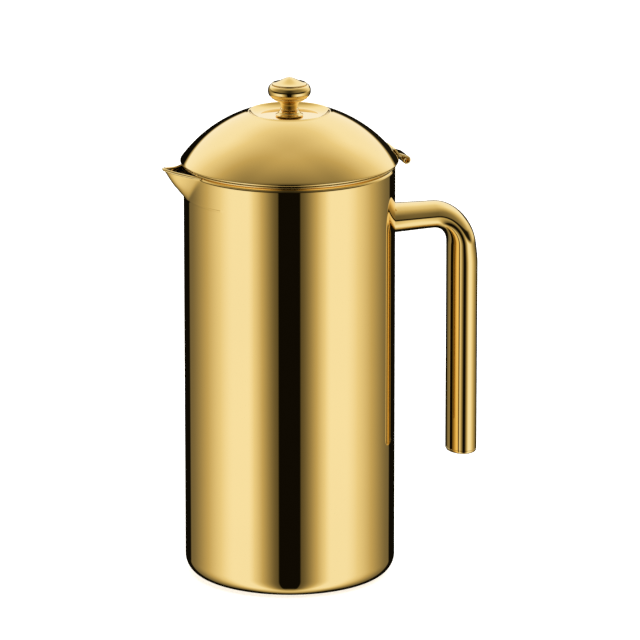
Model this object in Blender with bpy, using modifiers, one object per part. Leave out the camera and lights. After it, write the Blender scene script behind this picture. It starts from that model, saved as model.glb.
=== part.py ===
"""A French press: a double-walled pot, a domed lid and a plunger with a filter.

Units are metres and +Z is up.  The origin is the centre of the flat base.  The
handle is on the +X side and the pouring spout on the -X side.  Every piece is
its own object, and each group that moves hangs from an empty on its joint axis.
"""

import bmesh
import bpy
from math import acos, asin, atan2, cos, hypot, pi, radians, sin, sqrt, tan
from mathutils import Matrix

MM = 0.001

# Clearances
GAP = 0.3 * MM                  # between pieces that touch
LID_CLEARANCE = 0.5 * MM        # lid collar to the liner
FILTER_CLEARANCE = 0.4 * MM     # filter mesh to the liner

# Pot
BODY_RADIUS = 50.0 * MM
BODY_HEIGHT = 199.3 * MM        # floor to the top of the rim
BODY_FILLET = 8.2 * MM          # rounding of the bottom edge
SHEET = 0.8 * MM                # thickness of the pot and lid sheet
WALL_SPACE = 3.4 * MM           # air between the shell and the liner
FLOOR_SPACE = 5.2 * MM          # air between the base sheet and the liner
LINER_FILLET = 7.0 * MM
RIM_ROUND = 2.0 * MM            # rolled outer edge of the rim
RIM_INNER_ROUND = 0.6 * MM
BASE_LIP = 3.8 * MM             # flat of the shell inside its bottom rounding
BASE_FLANGE = 2.8 * MM          # how far the base plate laps over that flat

# Pouring spout
SPOUT_HALF_WIDTH = 16.0 * MM    # at the rim, where it leaves the wall
SPOUT_REACH = 11.7 * MM         # sheet at the tip, beyond the wall
SPOUT_DEPTH = 14.3 * MM         # rim down to where the ridge leaves the wall
SPOUT_RISE = 0.9 * MM           # tip above the rim
SPOUT_NOSE = 2.2 * MM           # height of the sheet at the tip
SPOUT_BEAD = 0.7 * MM           # radius of the rolled lip
SPOUT_TIP_ROUND = 0.28          # share of the outline that is an ellipse
SPOUT_RIDGE_ROUND = 0.15        # rounding of the ridge, as a share of the width

# Handle, an oval tube shaped like an upside-down L
HANDLE_ARM_DROP = 29.6 * MM     # rim down to the centre line where it leaves the wall
HANDLE_ARM_RISE = radians(1.0)
HANDLE_REACH = 35.5 * MM        # wall to the centre line of the grip
HANDLE_END = 52.3 * MM          # lowest point above the floor
HANDLE_BEND = 14.7 * MM         # bend radius of the centre line
HANDLE_DEPTH = 14.5 * MM        # grip, across the thin way
HANDLE_WIDTH = 20.0 * MM        # grip, across the wide way
HANDLE_ROOT_SHARE = 0.95        # section at the wall, as a share of the grip
HANDLE_ARM_SHARE = 0.885        # section before the bend
HANDLE_WALL = 1.0 * MM
CAP_THICKNESS = 1.6 * MM
CAP_ROUND = 1.3 * MM
CAP_PLUG = 5.0 * MM             # how far the cap reaches into the tube

# Lid
DOME_RADIUS = 63.65 * MM        # of the sphere that the dome is a part of
DOME_OVERHANG = 1.5 * MM        # edge of the dome beyond the wall
DOME_EDGE_ROUND = 0.7 * MM
DISH_RADIUS = 19.4 * MM         # flat top of the dome
DISH_DEPTH = 2.2 * MM
DISH_ROUND = 0.6 * MM
PAN_INSET = 0.9 * MM            # edge of the pan inside the edge of the dome
COLLAR_HEIGHT = 17.0 * MM
COLLAR_FLANGE = 6.0 * MM
SLOT_WIDTH = 1.8 * MM
SLOT_HEIGHT = 8.0 * MM
SLOTS_PER_SIDE = 6
SLOT_PITCH = radians(8.0)

# Thumb tab
TAB_WIDTH = 13.0 * MM
TAB_SHEET = 0.9 * MM
TAB_FOOT_SPAN = radians(3.0)    # of the dome that the foot lies on
TAB_FOOT_LIFT = radians(11.9)   # how far past its tangent point the strap leaves the dome
TAB_CURL_OUT = 4.3 * MM         # centre of the curl beyond the edge of the dome
TAB_CURL_DROP = 2.2 * MM        # centre of the curl below the edge of the dome
TAB_CURL_RADIUS = 1.65 * MM     # middle of the sheet, outer turn
TAB_CURL_END_RADIUS = 0.95 * MM
TAB_CURL_TURN = radians(330.0)

# Rod and its guide
ROD_RADIUS = 2.5 * MM
THREAD_RADIUS = 2.0 * MM
GUIDE_WALL = 1.7 * MM
FERRULE_RADIUS = 6.5 * MM
FERRULE_TOP_RADIUS = 4.3 * MM
FERRULE_HEIGHT = 2.3 * MM
FERRULE_EDGE = 0.5 * MM
GUIDE_NUT_HEIGHT = 2.8 * MM
GUIDE_NUT_RADIUS = 8.0 * MM     # to the corners

# Knob, from its foot up
KNOB_FOOT_RADIUS = 4.3 * MM
KNOB_NECK_RADIUS = 3.85 * MM
KNOB_FOOT_HEIGHT = 0.9 * MM
KNOB_NECK_HEIGHT = 4.0 * MM
KNOB_NECK_TOP_RADIUS = 7.0 * MM
KNOB_LOW_RING_RADIUS = 8.45 * MM
KNOB_RING_HEIGHT = 0.7 * MM
KNOB_STEP = 0.8 * MM
KNOB_BULGE_RADIUS = 10.17 * MM
KNOB_BULGE_HEIGHT = 5.8 * MM
KNOB_TOP_RING_RADIUS = 8.3 * MM
KNOB_FINIAL_RADIUS = 7.8 * MM
KNOB_FINIAL_HEIGHT = 2.9 * MM
KNOB_FINIAL_CONE = 0.4          # share of the finial's height that is a plain cone
KNOB_THREAD_DEPTH = 7.0 * MM

# Filter, from its lowest piece up
FILTER_FLOOR_SPACE = 2.0 * MM   # hub nut above the liner floor when pressed down
HUB_NUT_HEIGHT = 3.2 * MM
NUT_RADIUS = 5.2 * MM           # to the corners
CROSS_THICKNESS = 1.0 * MM
CROSS_RIM = 3.0 * MM
CROSS_HUB_RADIUS = 7.0 * MM
CROSS_SPOKES = 4
CROSS_SPOKE_WIDTH = 5.0 * MM
CROSS_INSET = 6.0 * MM          # edge of the cross plate inside the mesh
MESH_THICKNESS = 0.4 * MM
MESH_FILLET = 1.2 * MM
MESH_RIM_HEIGHT = 4.0 * MM
SPRING_RADIUS = 1.7 * MM        # outside of one turn of the edge spring
TOP_PLATE_RIM = 3.0 * MM
HOLE_RADIUS = 3.0 * MM
HOLE_RINGS = ((15.0 * MM, 6), (29.0 * MM, 12))
LOCK_NUT_HEIGHT = 3.0 * MM

# Sides of the round pieces
STEPS_LARGE = 48
STEPS_SMALL = 32
STEPS_ROD = 20
TUBE_SIDES = 20

# Sizes that follow
SHELL_TOP = BODY_HEIGHT - RIM_ROUND - GAP
LINER_OUTER = BODY_RADIUS - SHEET - WALL_SPACE
LINER_INNER = LINER_OUTER - SHEET
LINER_UNDERSIDE = SHEET + FLOOR_SPACE
LINER_FLOOR = LINER_UNDERSIDE + SHEET
BASE_OPENING = BODY_RADIUS - BODY_FILLET - BASE_LIP
SPOUT_INNER_END = sqrt(LINER_INNER ** 2 - SPOUT_HALF_WIDTH ** 2) - SHEET
PAN_BOTTOM = BODY_HEIGHT + GAP
PAN_TOP = PAN_BOTTOM + SHEET
DOME_EDGE = BODY_RADIUS + DOME_OVERHANG
EDGE_CENTRE_RADIUS = DOME_EDGE - DOME_EDGE_ROUND
EDGE_CENTRE_HEIGHT = PAN_TOP + GAP + DOME_EDGE_ROUND
EDGE_ANGLE = asin(EDGE_CENTRE_RADIUS / (DOME_RADIUS - DOME_EDGE_ROUND))
DOME_CENTRE = EDGE_CENTRE_HEIGHT - (DOME_RADIUS - DOME_EDGE_ROUND) * cos(EDGE_ANGLE)
DISH_RIM_HEIGHT = DOME_CENTRE + sqrt(DOME_RADIUS ** 2 - DISH_RADIUS ** 2)
DISH_FLOOR = DISH_RIM_HEIGHT - DISH_DEPTH
COLLAR_OUTER = LINER_INNER - LID_CLEARANCE
COLLAR_TOP = PAN_BOTTOM - GAP
GUIDE_BORE = ROD_RADIUS + GAP
GUIDE_RADIUS = GUIDE_BORE + GUIDE_WALL
LID_HOLE = GUIDE_RADIUS + GAP
THREAD_HOLE = THREAD_RADIUS + GAP
FERRULE_BOTTOM = DISH_FLOOR + GAP
FERRULE_TOP = FERRULE_BOTTOM + FERRULE_HEIGHT
GUIDE_BOTTOM = PAN_BOTTOM - GAP - GUIDE_NUT_HEIGHT
KNOB_BOTTOM = FERRULE_TOP + GAP
HUB_NUT_BOTTOM = LINER_FLOOR + FILTER_FLOOR_SPACE
CROSS_BOTTOM = HUB_NUT_BOTTOM + HUB_NUT_HEIGHT + GAP
MESH_BOTTOM = CROSS_BOTTOM + CROSS_THICKNESS + GAP
TOP_PLATE_BOTTOM = MESH_BOTTOM + MESH_THICKNESS + GAP
LOCK_NUT_BOTTOM = TOP_PLATE_BOTTOM + SHEET + GAP
ROD_SHOULDER = LOCK_NUT_BOTTOM + LOCK_NUT_HEIGHT + GAP
MESH_OUTER = LINER_INNER - FILTER_CLEARANCE
SPRING_RING = MESH_OUTER - MESH_THICKNESS - GAP - SPRING_RADIUS
TOP_PLATE_OUTER = SPRING_RING - SPRING_RADIUS - GAP
CROSS_OUTER = MESH_OUTER - CROSS_INSET
HANDLE_ARM_HEIGHT = BODY_HEIGHT - HANDLE_ARM_DROP
GRIP_X = BODY_RADIUS + HANDLE_REACH
TUBE_END = HANDLE_END + CAP_THICKNESS + GAP

GOLD = ("polished_gold", (0.80, 0.58, 0.22), 0.08)
STEEL = ("brushed_steel", (0.62, 0.61, 0.59), 0.28)
MESH_STEEL = ("steel_mesh", (0.50, 0.50, 0.49), 0.40)

pieces = None
cutters = None


def start_scene():
    """Empty the scene and make the collections of pieces and of cutters."""
    global pieces, cutters
    for obj in list(bpy.data.objects):
        bpy.data.objects.remove(obj, do_unlink=True)
    pieces = bpy.data.collections.new("french_press")
    cutters = bpy.data.collections.new("french_press_cutters")
    bpy.context.scene.collection.children.link(pieces)
    bpy.context.scene.collection.children.link(cutters)


def group(name):
    """An empty on the pot's axis that the pieces of one moving group hang from."""
    empty = bpy.data.objects.new(name + "_group", None)
    empty.empty_display_size = 0.02
    pieces.objects.link(empty)
    return empty


def finish(name, colour, roughness):
    """A metal material of its own for one piece."""
    material = bpy.data.materials.new(name)
    material.use_nodes = True
    shader = material.node_tree.nodes["Principled BSDF"]
    shader.inputs["Base Color"].default_value = (*colour, 1.0)
    shader.inputs["Roughness"].default_value = roughness
    shader.inputs["Metallic"].default_value = 1.0
    return material


def add_piece(name, data, look, parent):
    """Put a mesh or curve in the model as one named piece."""
    obj = bpy.data.objects.new(name, data)
    pieces.objects.link(obj)
    obj.parent = parent
    style, colour, roughness = look
    data.materials.append(finish(name + "_" + style, colour, roughness))
    return obj


def add_cutter(name, data):
    """Put a mesh in the model as a cutter, which isn't a piece."""
    obj = bpy.data.objects.new(name, data)
    cutters.objects.link(obj)
    obj.hide_render = True
    obj.display_type = "WIRE"
    return obj


def combine(obj, other, operation="DIFFERENCE"):
    """Cut a piece with another object, or join the other object to it."""
    boolean = obj.modifiers.new(operation.lower(), "BOOLEAN")
    boolean.operation = operation
    boolean.solver = "EXACT"
    boolean.object = other


def arc(centre_radius, centre_height, radius, start, end, count):
    """Profile points on a circle, by angle from the upward vertical, clockwise."""
    points = []
    for i in range(count + 1):
        angle = start + (end - start) * i / count
        points.append((centre_radius + radius * sin(angle), centre_height + radius * cos(angle)))
    return points


def turn_mesh(name, profile, closed):
    """A mesh that holds a profile of (radius, height) points as a chain of edges."""
    mesh = bpy.data.meshes.new(name)
    count = len(profile)
    edges = [(i, i + 1) for i in range(count - 1)]
    if closed:
        edges.append((count - 1, 0))
    mesh.from_pydata([(radius, 0.0, height) for radius, height in profile], edges, [])
    return mesh


def turn(obj, steps):
    """Turn the profile of an object once about +Z."""
    screw = obj.modifiers.new("turn", "SCREW")
    screw.angle = 2.0 * pi
    screw.axis = "Z"
    screw.steps = steps
    screw.render_steps = steps
    screw.use_merge_vertices = True
    screw.merge_threshold = 0.00001
    screw.use_smooth_shade = True


def turned(name, profile, look, parent, steps=STEPS_LARGE, closed=True):
    """A turned piece.  Its profile runs down the outer side, from top to bottom."""
    obj = add_piece(name, turn_mesh(name, profile, closed), look, parent)
    turn(obj, steps)
    return obj


def cylinder_mesh(radius, bottom, top, sides, x=0.0, y=0.0):
    """A closed upright cylinder."""
    mesh = bpy.data.meshes.new("cylinder")
    shape = bmesh.new()
    place = Matrix.Translation((x, y, (bottom + top) / 2.0))
    bmesh.ops.create_cone(shape, cap_ends=True, segments=sides, radius1=radius, radius2=radius,
                          depth=top - bottom, matrix=place)
    shape.to_mesh(mesh)
    shape.free()
    return mesh


def curve_piece(name, outlines, bottom, height, look, parent):
    """A flat plate from closed outlines, the first its edge and the rest its holes."""
    curve = bpy.data.curves.new(name, "CURVE")
    curve.dimensions = "2D"
    curve.fill_mode = "BOTH"
    curve.extrude = height / 2.0
    for outline in outlines:
        spline = curve.splines.new("POLY")
        spline.points.add(len(outline) - 1)
        for point, (x, y) in zip(spline.points, outline):
            point.co = (x, y, 0.0, 1.0)
        spline.use_cyclic_u = True
    obj = add_piece(name, curve, look, parent)
    obj.location.z = bottom + height / 2.0
    return obj


def ring_points(radius, count, first=0.0):
    """Points evenly spaced round the axis."""
    angles = [first + 2.0 * pi * i / count for i in range(count)]
    return [(radius * cos(angle), radius * sin(angle)) for angle in angles]


def nut(name, corner_radius, hole_radius, bottom, height, parent):
    """A plain hexagon nut."""
    outlines = [ring_points(corner_radius, 6), ring_points(hole_radius, STEPS_ROD)]
    return curve_piece(name, outlines, bottom, height, STEEL, parent)


def tube_mesh(name, points, radii, sides):
    """A closed round tube along points in space, as a mesh with its caps joined on."""
    curve = bpy.data.curves.new(name, "CURVE")
    curve.dimensions = "3D"
    curve.bevel_depth = 1.0
    curve.bevel_resolution = sides // 4 - 1
    curve.use_fill_caps = True
    spline = curve.splines.new("POLY")
    spline.points.add(len(points) - 1)
    for point, place, radius in zip(spline.points, points, radii):
        point.co = (*place, 1.0)
        point.radius = radius
    guide = bpy.data.objects.new(name, curve)
    cutters.objects.link(guide)
    evaluated = guide.evaluated_get(bpy.context.evaluated_depsgraph_get())
    mesh = bpy.data.meshes.new_from_object(evaluated)
    bpy.data.objects.remove(guide, do_unlink=True)
    shape = bmesh.new()
    shape.from_mesh(mesh)
    bmesh.ops.remove_doubles(shape, verts=shape.verts, dist=0.000001)
    bmesh.ops.recalc_face_normals(shape, faces=shape.faces)
    shape.to_mesh(mesh)
    shape.free()
    mesh.shade_smooth()
    return mesh


# ---------------------------------------------------------------- the pot

def outer_shell(pot):
    """The outer wall: a straight tube whose bottom is rounded in to a flat lip."""
    round_centre = BODY_RADIUS - BODY_FILLET
    inside = arc(round_centre, BODY_FILLET, BODY_FILLET - SHEET, pi, pi / 2.0, 4)
    profile = [(BODY_RADIUS, SHELL_TOP)]
    profile += arc(round_centre, BODY_FILLET, BODY_FILLET, pi / 2.0, pi, 5)
    profile += [(BASE_OPENING, 0.0), (BASE_OPENING, SHEET)]
    profile += inside
    profile += [(BODY_RADIUS - SHEET, SHELL_TOP)]
    return turned("outer_shell", profile, GOLD, pot)


def liner(pot):
    """The inner pot, whose rim rolls out over the top of the outer shell."""
    roll = BODY_RADIUS - RIM_ROUND
    roll_height = BODY_HEIGHT - RIM_ROUND
    corner = LINER_INNER - LINER_FILLET
    corner_height = LINER_FLOOR + LINER_FILLET
    profile = [(0.0, LINER_FLOOR)]
    profile += arc(corner, corner_height, LINER_FILLET, pi, pi / 2.0, 4)
    profile += arc(LINER_INNER + RIM_INNER_ROUND, BODY_HEIGHT - RIM_INNER_ROUND, RIM_INNER_ROUND,
                   -pi / 2.0, 0.0, 2)
    profile += arc(roll, roll_height, RIM_ROUND, 0.0, pi / 2.0, 4)
    profile += arc(roll, roll_height, RIM_ROUND - SHEET, pi / 2.0, 0.0, 2)
    profile += [(LINER_OUTER, BODY_HEIGHT - SHEET)]
    profile += arc(corner, corner_height, LINER_FILLET + SHEET, pi / 2.0, pi, 5)
    profile += [(0.0, LINER_UNDERSIDE)]
    return turned("liner", profile, STEEL, pot, closed=False)


def base_plate(pot):
    """The disc that closes the bottom, stepped so that it lies flush with the shell."""
    centre = BASE_OPENING - GAP
    flange = BASE_OPENING + BASE_FLANGE
    step = SHEET + GAP
    profile = [(0.0, SHEET), (centre - SHEET, SHEET), (centre - SHEET, step + SHEET),
               (flange, step + SHEET), (flange, step), (centre, step), (centre, 0.0), (0.0, 0.0)]
    return turned("base_plate", profile, GOLD, pot, closed=False)


def spout_section(x, t, offset, half_count):
    """One V section of the spout, from one top edge down to the ridge and up again.

    t runs from 0 where the spout leaves the wall to 1 at its tip, and offset
    moves the section towards the inside of the channel.
    """
    beak = (1.0 - SPOUT_TIP_ROUND) * (1.0 - t) ** 2 + SPOUT_TIP_ROUND * sqrt(1.0 - t * t)
    half_width = SPOUT_HALF_WIDTH * beak - 1.2 * offset * sqrt(1.0 - t)
    top = BODY_HEIGHT + SPOUT_RISE * t * t
    ridge_start = BODY_HEIGHT - SPOUT_DEPTH
    ridge_end = BODY_HEIGHT + SPOUT_RISE - SPOUT_NOSE
    along = max(0.0, (x - BODY_RADIUS) / SPOUT_REACH)
    bottom = ridge_start + (ridge_end - ridge_start) * along + 1.6 * offset
    points = []
    for i in range(-half_count, half_count + 1):
        share = i / half_count
        rise = hypot(share, SPOUT_RIDGE_ROUND) - SPOUT_RIDGE_ROUND
        rise /= hypot(1.0, SPOUT_RIDGE_ROUND) - SPOUT_RIDGE_ROUND
        points.append((-x + offset * t, half_width * share, bottom + (top - bottom) * rise))
    return points


def spout_stations(inner_x, tip_share, count):
    """Distances from the axis, and shares of the way to the tip, of the V sections."""
    wall_x = sqrt(BODY_RADIUS ** 2 - SPOUT_HALF_WIDTH ** 2)
    tip_x = BODY_RADIUS + SPOUT_REACH
    stations = [(inner_x, 0.0), ((inner_x + wall_x) / 2.0, 0.0)]
    for i in range(count + 1):
        t = tip_share * sin(pi / 2.0 * i / count)
        stations.append((wall_x + (tip_x - wall_x) * t, t))
    return stations


def bridge(shape, first, second):
    """Faces between two rows of points."""
    for a, b, c, d in zip(first, first[1:], second[1:], second):
        shape.faces.new((a, b, c, d))


def close_up(shape, name):
    """Merge the points of a hand-made shape, turn its faces out and make it a mesh."""
    bmesh.ops.remove_doubles(shape, verts=shape.verts, dist=0.000001)
    bmesh.ops.dissolve_degenerate(shape, edges=shape.edges, dist=0.000001)
    bmesh.ops.recalc_face_normals(shape, faces=shape.faces)
    mesh = bpy.data.meshes.new(name)
    shape.to_mesh(mesh)
    shape.free()
    return mesh


def pouring_spout(pot):
    """The V-shaped spout, a sheet channel from inside the liner out to its tip."""
    half_count = 4
    stations = spout_stations(SPOUT_INNER_END, 1.0, 8)
    shape = bmesh.new()
    skins = []
    for offset in (0.0, SHEET):
        rows = [spout_section(x, t, offset, half_count) for x, t in stations]
        rows = [[shape.verts.new(point) for point in row] for row in rows]
        for first, second in zip(rows, rows[1:]):
            bridge(shape, first, second)
        skins.append(rows)
    outside, inside = skins
    bridge(shape, outside[0], inside[0])
    for edge in (0, -1):
        bridge(shape, [row[edge] for row in outside], [row[edge] for row in inside])
    spout = add_piece("pouring_spout", close_up(shape, "pouring_spout"), GOLD, pot)

    edge = [spout_section(x, t, SHEET / 2.0, half_count)[0] for x, t in stations if t > 0.12]
    edge += [(x, -y, z) for x, y, z in reversed(edge[:-1])]
    bead = add_cutter("spout_bead", tube_mesh("spout_bead", edge, [SPOUT_BEAD] * len(edge), 8))
    combine(spout, bead, "UNION")
    mouth = cylinder_mesh(LINER_INNER, BODY_HEIGHT - 2.0 * SPOUT_DEPTH, BODY_HEIGHT + SPOUT_DEPTH,
                          STEPS_LARGE)
    combine(spout, add_cutter("spout_mouth_cut", mouth))
    return spout


def spout_cutter():
    """The space that the spout takes out of the shell and the liner."""
    shape = bmesh.new()
    rings = []
    for x, t in spout_stations(SPOUT_INNER_END - SHEET, 0.4, 4):
        section = spout_section(x, t, -GAP, 4)
        left, right = section[0], section[-1]
        lid = BODY_HEIGHT + SPOUT_DEPTH
        section += [(right[0], right[1], lid), (left[0], left[1], lid), left]
        ring = [shape.verts.new(point) for point in section]
        rings.append(ring)
    for first, second in zip(rings, rings[1:]):
        bridge(shape, first, second)
    for ring in (rings[0], rings[-1]):
        shape.faces.new(ring[:-1])
    return add_cutter("spout_cutter", close_up(shape, "spout_cutter"))


def handle_path(run_in, run_out, thinner):
    """Centre line and radii of the handle: the arm, the bend and the grip."""
    grip = HANDLE_DEPTH / 2.0 - thinner
    root = HANDLE_DEPTH * HANDLE_ROOT_SHARE / 2.0 - thinner
    arm = HANDLE_DEPTH * HANDLE_ARM_SHARE / 2.0 - thinner
    corner_z = HANDLE_ARM_HEIGHT + HANDLE_REACH * tan(HANDLE_ARM_RISE)
    bend_turn = pi / 2.0 + HANDLE_ARM_RISE
    tangent = HANDLE_BEND * tan(bend_turn / 2.0)
    centre_x = GRIP_X - HANDLE_BEND
    centre_z = corner_z - tangent
    start_x = BODY_RADIUS - run_in
    arm_end_x = GRIP_X - tangent * cos(HANDLE_ARM_RISE)

    def arm_point(x):
        return (x, 0.0, HANDLE_ARM_HEIGHT + (x - BODY_RADIUS) * tan(HANDLE_ARM_RISE))

    points = [arm_point(start_x), arm_point((BODY_RADIUS + arm_end_x) / 2.0)]
    radii = [root, (root + arm) / 2.0]
    steps = 8
    for i in range(steps + 1):
        angle = -HANDLE_ARM_RISE + bend_turn * i / steps
        points.append((centre_x + HANDLE_BEND * sin(angle), 0.0, centre_z + HANDLE_BEND * cos(angle)))
        radii.append(arm + (grip - arm) * (i / steps))
    for share in (0.5, 1.0):
        points.append((GRIP_X, 0.0, centre_z + (TUBE_END - run_out - centre_z) * share))
        radii.append(grip)
    return points, radii


def handle_tube(pot):
    """The hollow oval handle, cut to the curve of the wall and open at its foot."""
    wide = HANDLE_WIDTH / HANDLE_DEPTH
    points, radii = handle_path(HANDLE_DEPTH, 0.0, 0.0)
    mesh = tube_mesh("handle_tube", points, radii, TUBE_SIDES)
    mesh.transform(Matrix.Diagonal((1.0, wide, 1.0, 1.0)))
    tube = add_piece("handle_tube", mesh, GOLD, pot)

    wide_inside = (HANDLE_WIDTH - 2.0 * HANDLE_WALL) / (HANDLE_DEPTH - 2.0 * HANDLE_WALL)
    points, radii = handle_path(2.0 * HANDLE_DEPTH, HANDLE_DEPTH, HANDLE_WALL)
    bore = tube_mesh("handle_bore", points, radii, TUBE_SIDES)
    bore.transform(Matrix.Diagonal((1.0, wide_inside, 1.0, 1.0)))
    reach = 1.5 * HANDLE_DEPTH
    wall = cylinder_mesh(BODY_RADIUS + GAP, HANDLE_ARM_HEIGHT - reach, HANDLE_ARM_HEIGHT + reach,
                         STEPS_LARGE)
    wall.transform(Matrix.Rotation(pi / STEPS_LARGE, 4, "Z"))
    combine(tube, add_cutter("handle_wall_cut", wall))
    combine(tube, add_cutter("handle_bore", bore))
    return tube


def handle_end_cap(pot):
    """The oval cap that closes the foot of the handle."""
    outer = HANDLE_DEPTH / 2.0
    plug = outer - HANDLE_WALL - GAP
    plate_top = HANDLE_END + CAP_THICKNESS
    profile = [(0.0, plate_top + CAP_PLUG), (plug, plate_top + CAP_PLUG), (plug, plate_top),
               (outer, plate_top)]
    profile += arc(outer - CAP_ROUND, HANDLE_END + CAP_ROUND, CAP_ROUND, pi / 2.0, pi, 4)
    profile += [(0.0, HANDLE_END)]
    cap = turned("handle_end_cap", profile, GOLD, pot, steps=TUBE_SIDES, closed=False)
    cap.location.x = GRIP_X
    cap.scale.y = HANDLE_WIDTH / HANDLE_DEPTH
    return cap


# ---------------------------------------------------------------- the lid

def lid_dome(lid):
    """The domed cover, with a shallow dish at its top where the knob comes to rest."""
    dish_start = asin(DISH_RADIUS / DOME_RADIUS)
    dish_edge = DISH_RADIUS - DISH_ROUND
    dish_edge_height = DISH_RIM_HEIGHT + DISH_ROUND * cos(dish_start) * 0.4
    dish_middle = (dish_edge + LID_HOLE) / 2.0
    dish_middle_height = DISH_FLOOR + (DISH_RIM_HEIGHT - DISH_FLOOR) * 0.25
    inner = DOME_RADIUS - SHEET
    inner_edge = asin(EDGE_CENTRE_RADIUS / inner)
    profile = [(LID_HOLE, DISH_FLOOR), (dish_middle, dish_middle_height),
               (dish_edge, dish_edge_height)]
    profile += arc(0.0, DOME_CENTRE, DOME_RADIUS, dish_start, EDGE_ANGLE, 7)
    profile += arc(EDGE_CENTRE_RADIUS, EDGE_CENTRE_HEIGHT, DOME_EDGE_ROUND, EDGE_ANGLE, pi, 3)[1:]
    profile += arc(0.0, DOME_CENTRE, inner, inner_edge, dish_start, 6)
    profile += [(dish_edge, dish_edge_height - SHEET), (dish_middle, dish_middle_height - SHEET),
                (LID_HOLE, DISH_FLOOR - SHEET)]
    return turned("lid_dome", profile, GOLD, lid)


def lid_pan(lid):
    """The flat plate that closes the dome from below and rests on the rim."""
    edge = DOME_EDGE - PAN_INSET
    profile = [(LID_HOLE, PAN_TOP), (edge, PAN_TOP), (edge, PAN_BOTTOM), (LID_HOLE, PAN_BOTTOM)]
    return turned("lid_pan", profile, GOLD, lid)


def lid_collar(lid):
    """The collar that drops into the mouth of the pot, slotted to strain the coffee."""
    bottom = COLLAR_TOP - COLLAR_HEIGHT
    inner = COLLAR_OUTER - SHEET
    profile = [(inner - COLLAR_FLANGE, COLLAR_TOP), (COLLAR_OUTER, COLLAR_TOP),
               (COLLAR_OUTER, bottom), (inner, bottom), (inner, COLLAR_TOP - SHEET),
               (inner - COLLAR_FLANGE, COLLAR_TOP - SHEET)]
    collar = turned("lid_collar", profile, STEEL, lid)
    shape = bmesh.new()
    middle = bottom + (COLLAR_HEIGHT - SHEET) / 2.0
    for side in (0.0, pi):
        for i in range(SLOTS_PER_SIDE):
            angle = side + SLOT_PITCH * (i - (SLOTS_PER_SIDE - 1) / 2.0)
            place = Matrix.Rotation(angle, 4, "Z") @ Matrix.Translation((COLLAR_OUTER, 0.0, middle))
            size = Matrix.Diagonal((8.0 * SHEET, SLOT_WIDTH, SLOT_HEIGHT, 1.0))
            bmesh.ops.create_cube(shape, size=1.0, matrix=place @ size)
    slots = bpy.data.meshes.new("collar_slots")
    shape.to_mesh(slots)
    shape.free()
    combine(collar, add_cutter("collar_slots", slots))
    return collar


def tab_path():
    """Middle line of the thumb tab, side on: its foot, its strap and its curl."""
    surface = DOME_RADIUS + GAP + TAB_SHEET / 2.0
    centre_x = DOME_EDGE + TAB_CURL_OUT
    centre_z = EDGE_CENTRE_HEIGHT - TAB_CURL_DROP
    reach = hypot(centre_x, centre_z - DOME_CENTRE)
    tangent = atan2(centre_x, centre_z - DOME_CENTRE) - acos((surface - TAB_CURL_RADIUS) / reach)
    foot_end = tangent + TAB_FOOT_LIFT
    path = arc(0.0, DOME_CENTRE, surface, foot_end - TAB_FOOT_SPAN, foot_end, 3)
    foot_x, foot_z = path[-1]
    run_x = centre_x - foot_x
    run_z = centre_z - foot_z
    heading = atan2(run_z, run_x) + asin(TAB_CURL_RADIUS / hypot(run_x, run_z))
    first = pi / 2.0 + heading
    steps = 12
    for i in range(steps + 1):
        share = i / steps
        radius = TAB_CURL_RADIUS + (TAB_CURL_END_RADIUS - TAB_CURL_RADIUS) * max(0.0, share - 0.3) / 0.7
        angle = first - TAB_CURL_TURN * share
        path.append((centre_x + radius * cos(angle), centre_z + radius * sin(angle)))
    return path


def thumb_tab(lid):
    """The strap on the dome above the handle, with its end curled under."""
    shape = bmesh.new()
    sides = []
    for y in (-TAB_WIDTH / 2.0, TAB_WIDTH / 2.0):
        sides.append([shape.verts.new((x, y, z)) for x, z in tab_path()])
    bridge(shape, sides[0], sides[1])
    mesh = bpy.data.meshes.new("thumb_tab")
    shape.to_mesh(mesh)
    shape.free()
    mesh.shade_smooth()
    tab = add_piece("thumb_tab", mesh, GOLD, lid)
    solidify = tab.modifiers.new("sheet", "SOLIDIFY")
    solidify.thickness = TAB_SHEET
    solidify.offset = 0.0
    solidify.use_even_offset = True
    return tab


# ---------------------------------------------------------------- the rod's guide

def guide_ferrule(guide):
    """The flared tube that the rod slides in, which passes through the lid."""
    profile = [(GUIDE_BORE, FERRULE_TOP), (FERRULE_TOP_RADIUS, FERRULE_TOP)]
    profile += [(FERRULE_TOP_RADIUS + (FERRULE_RADIUS - FERRULE_TOP_RADIUS) * 0.35,
                 FERRULE_TOP - (FERRULE_HEIGHT - FERRULE_EDGE) * 0.5)]
    profile += [(FERRULE_RADIUS, FERRULE_BOTTOM + FERRULE_EDGE), (FERRULE_RADIUS, FERRULE_BOTTOM),
                (GUIDE_RADIUS, FERRULE_BOTTOM), (GUIDE_RADIUS, GUIDE_BOTTOM),
                (GUIDE_BORE, GUIDE_BOTTOM)]
    return turned("guide_ferrule", profile, GOLD, guide, steps=STEPS_SMALL)


def guide_nut(guide):
    """The nut under the lid that holds the ferrule."""
    bottom = PAN_BOTTOM - GAP - GUIDE_NUT_HEIGHT
    return nut("guide_nut", GUIDE_NUT_RADIUS, LID_HOLE, bottom, GUIDE_NUT_HEIGHT, guide)


# ---------------------------------------------------------------- the plunger

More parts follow.
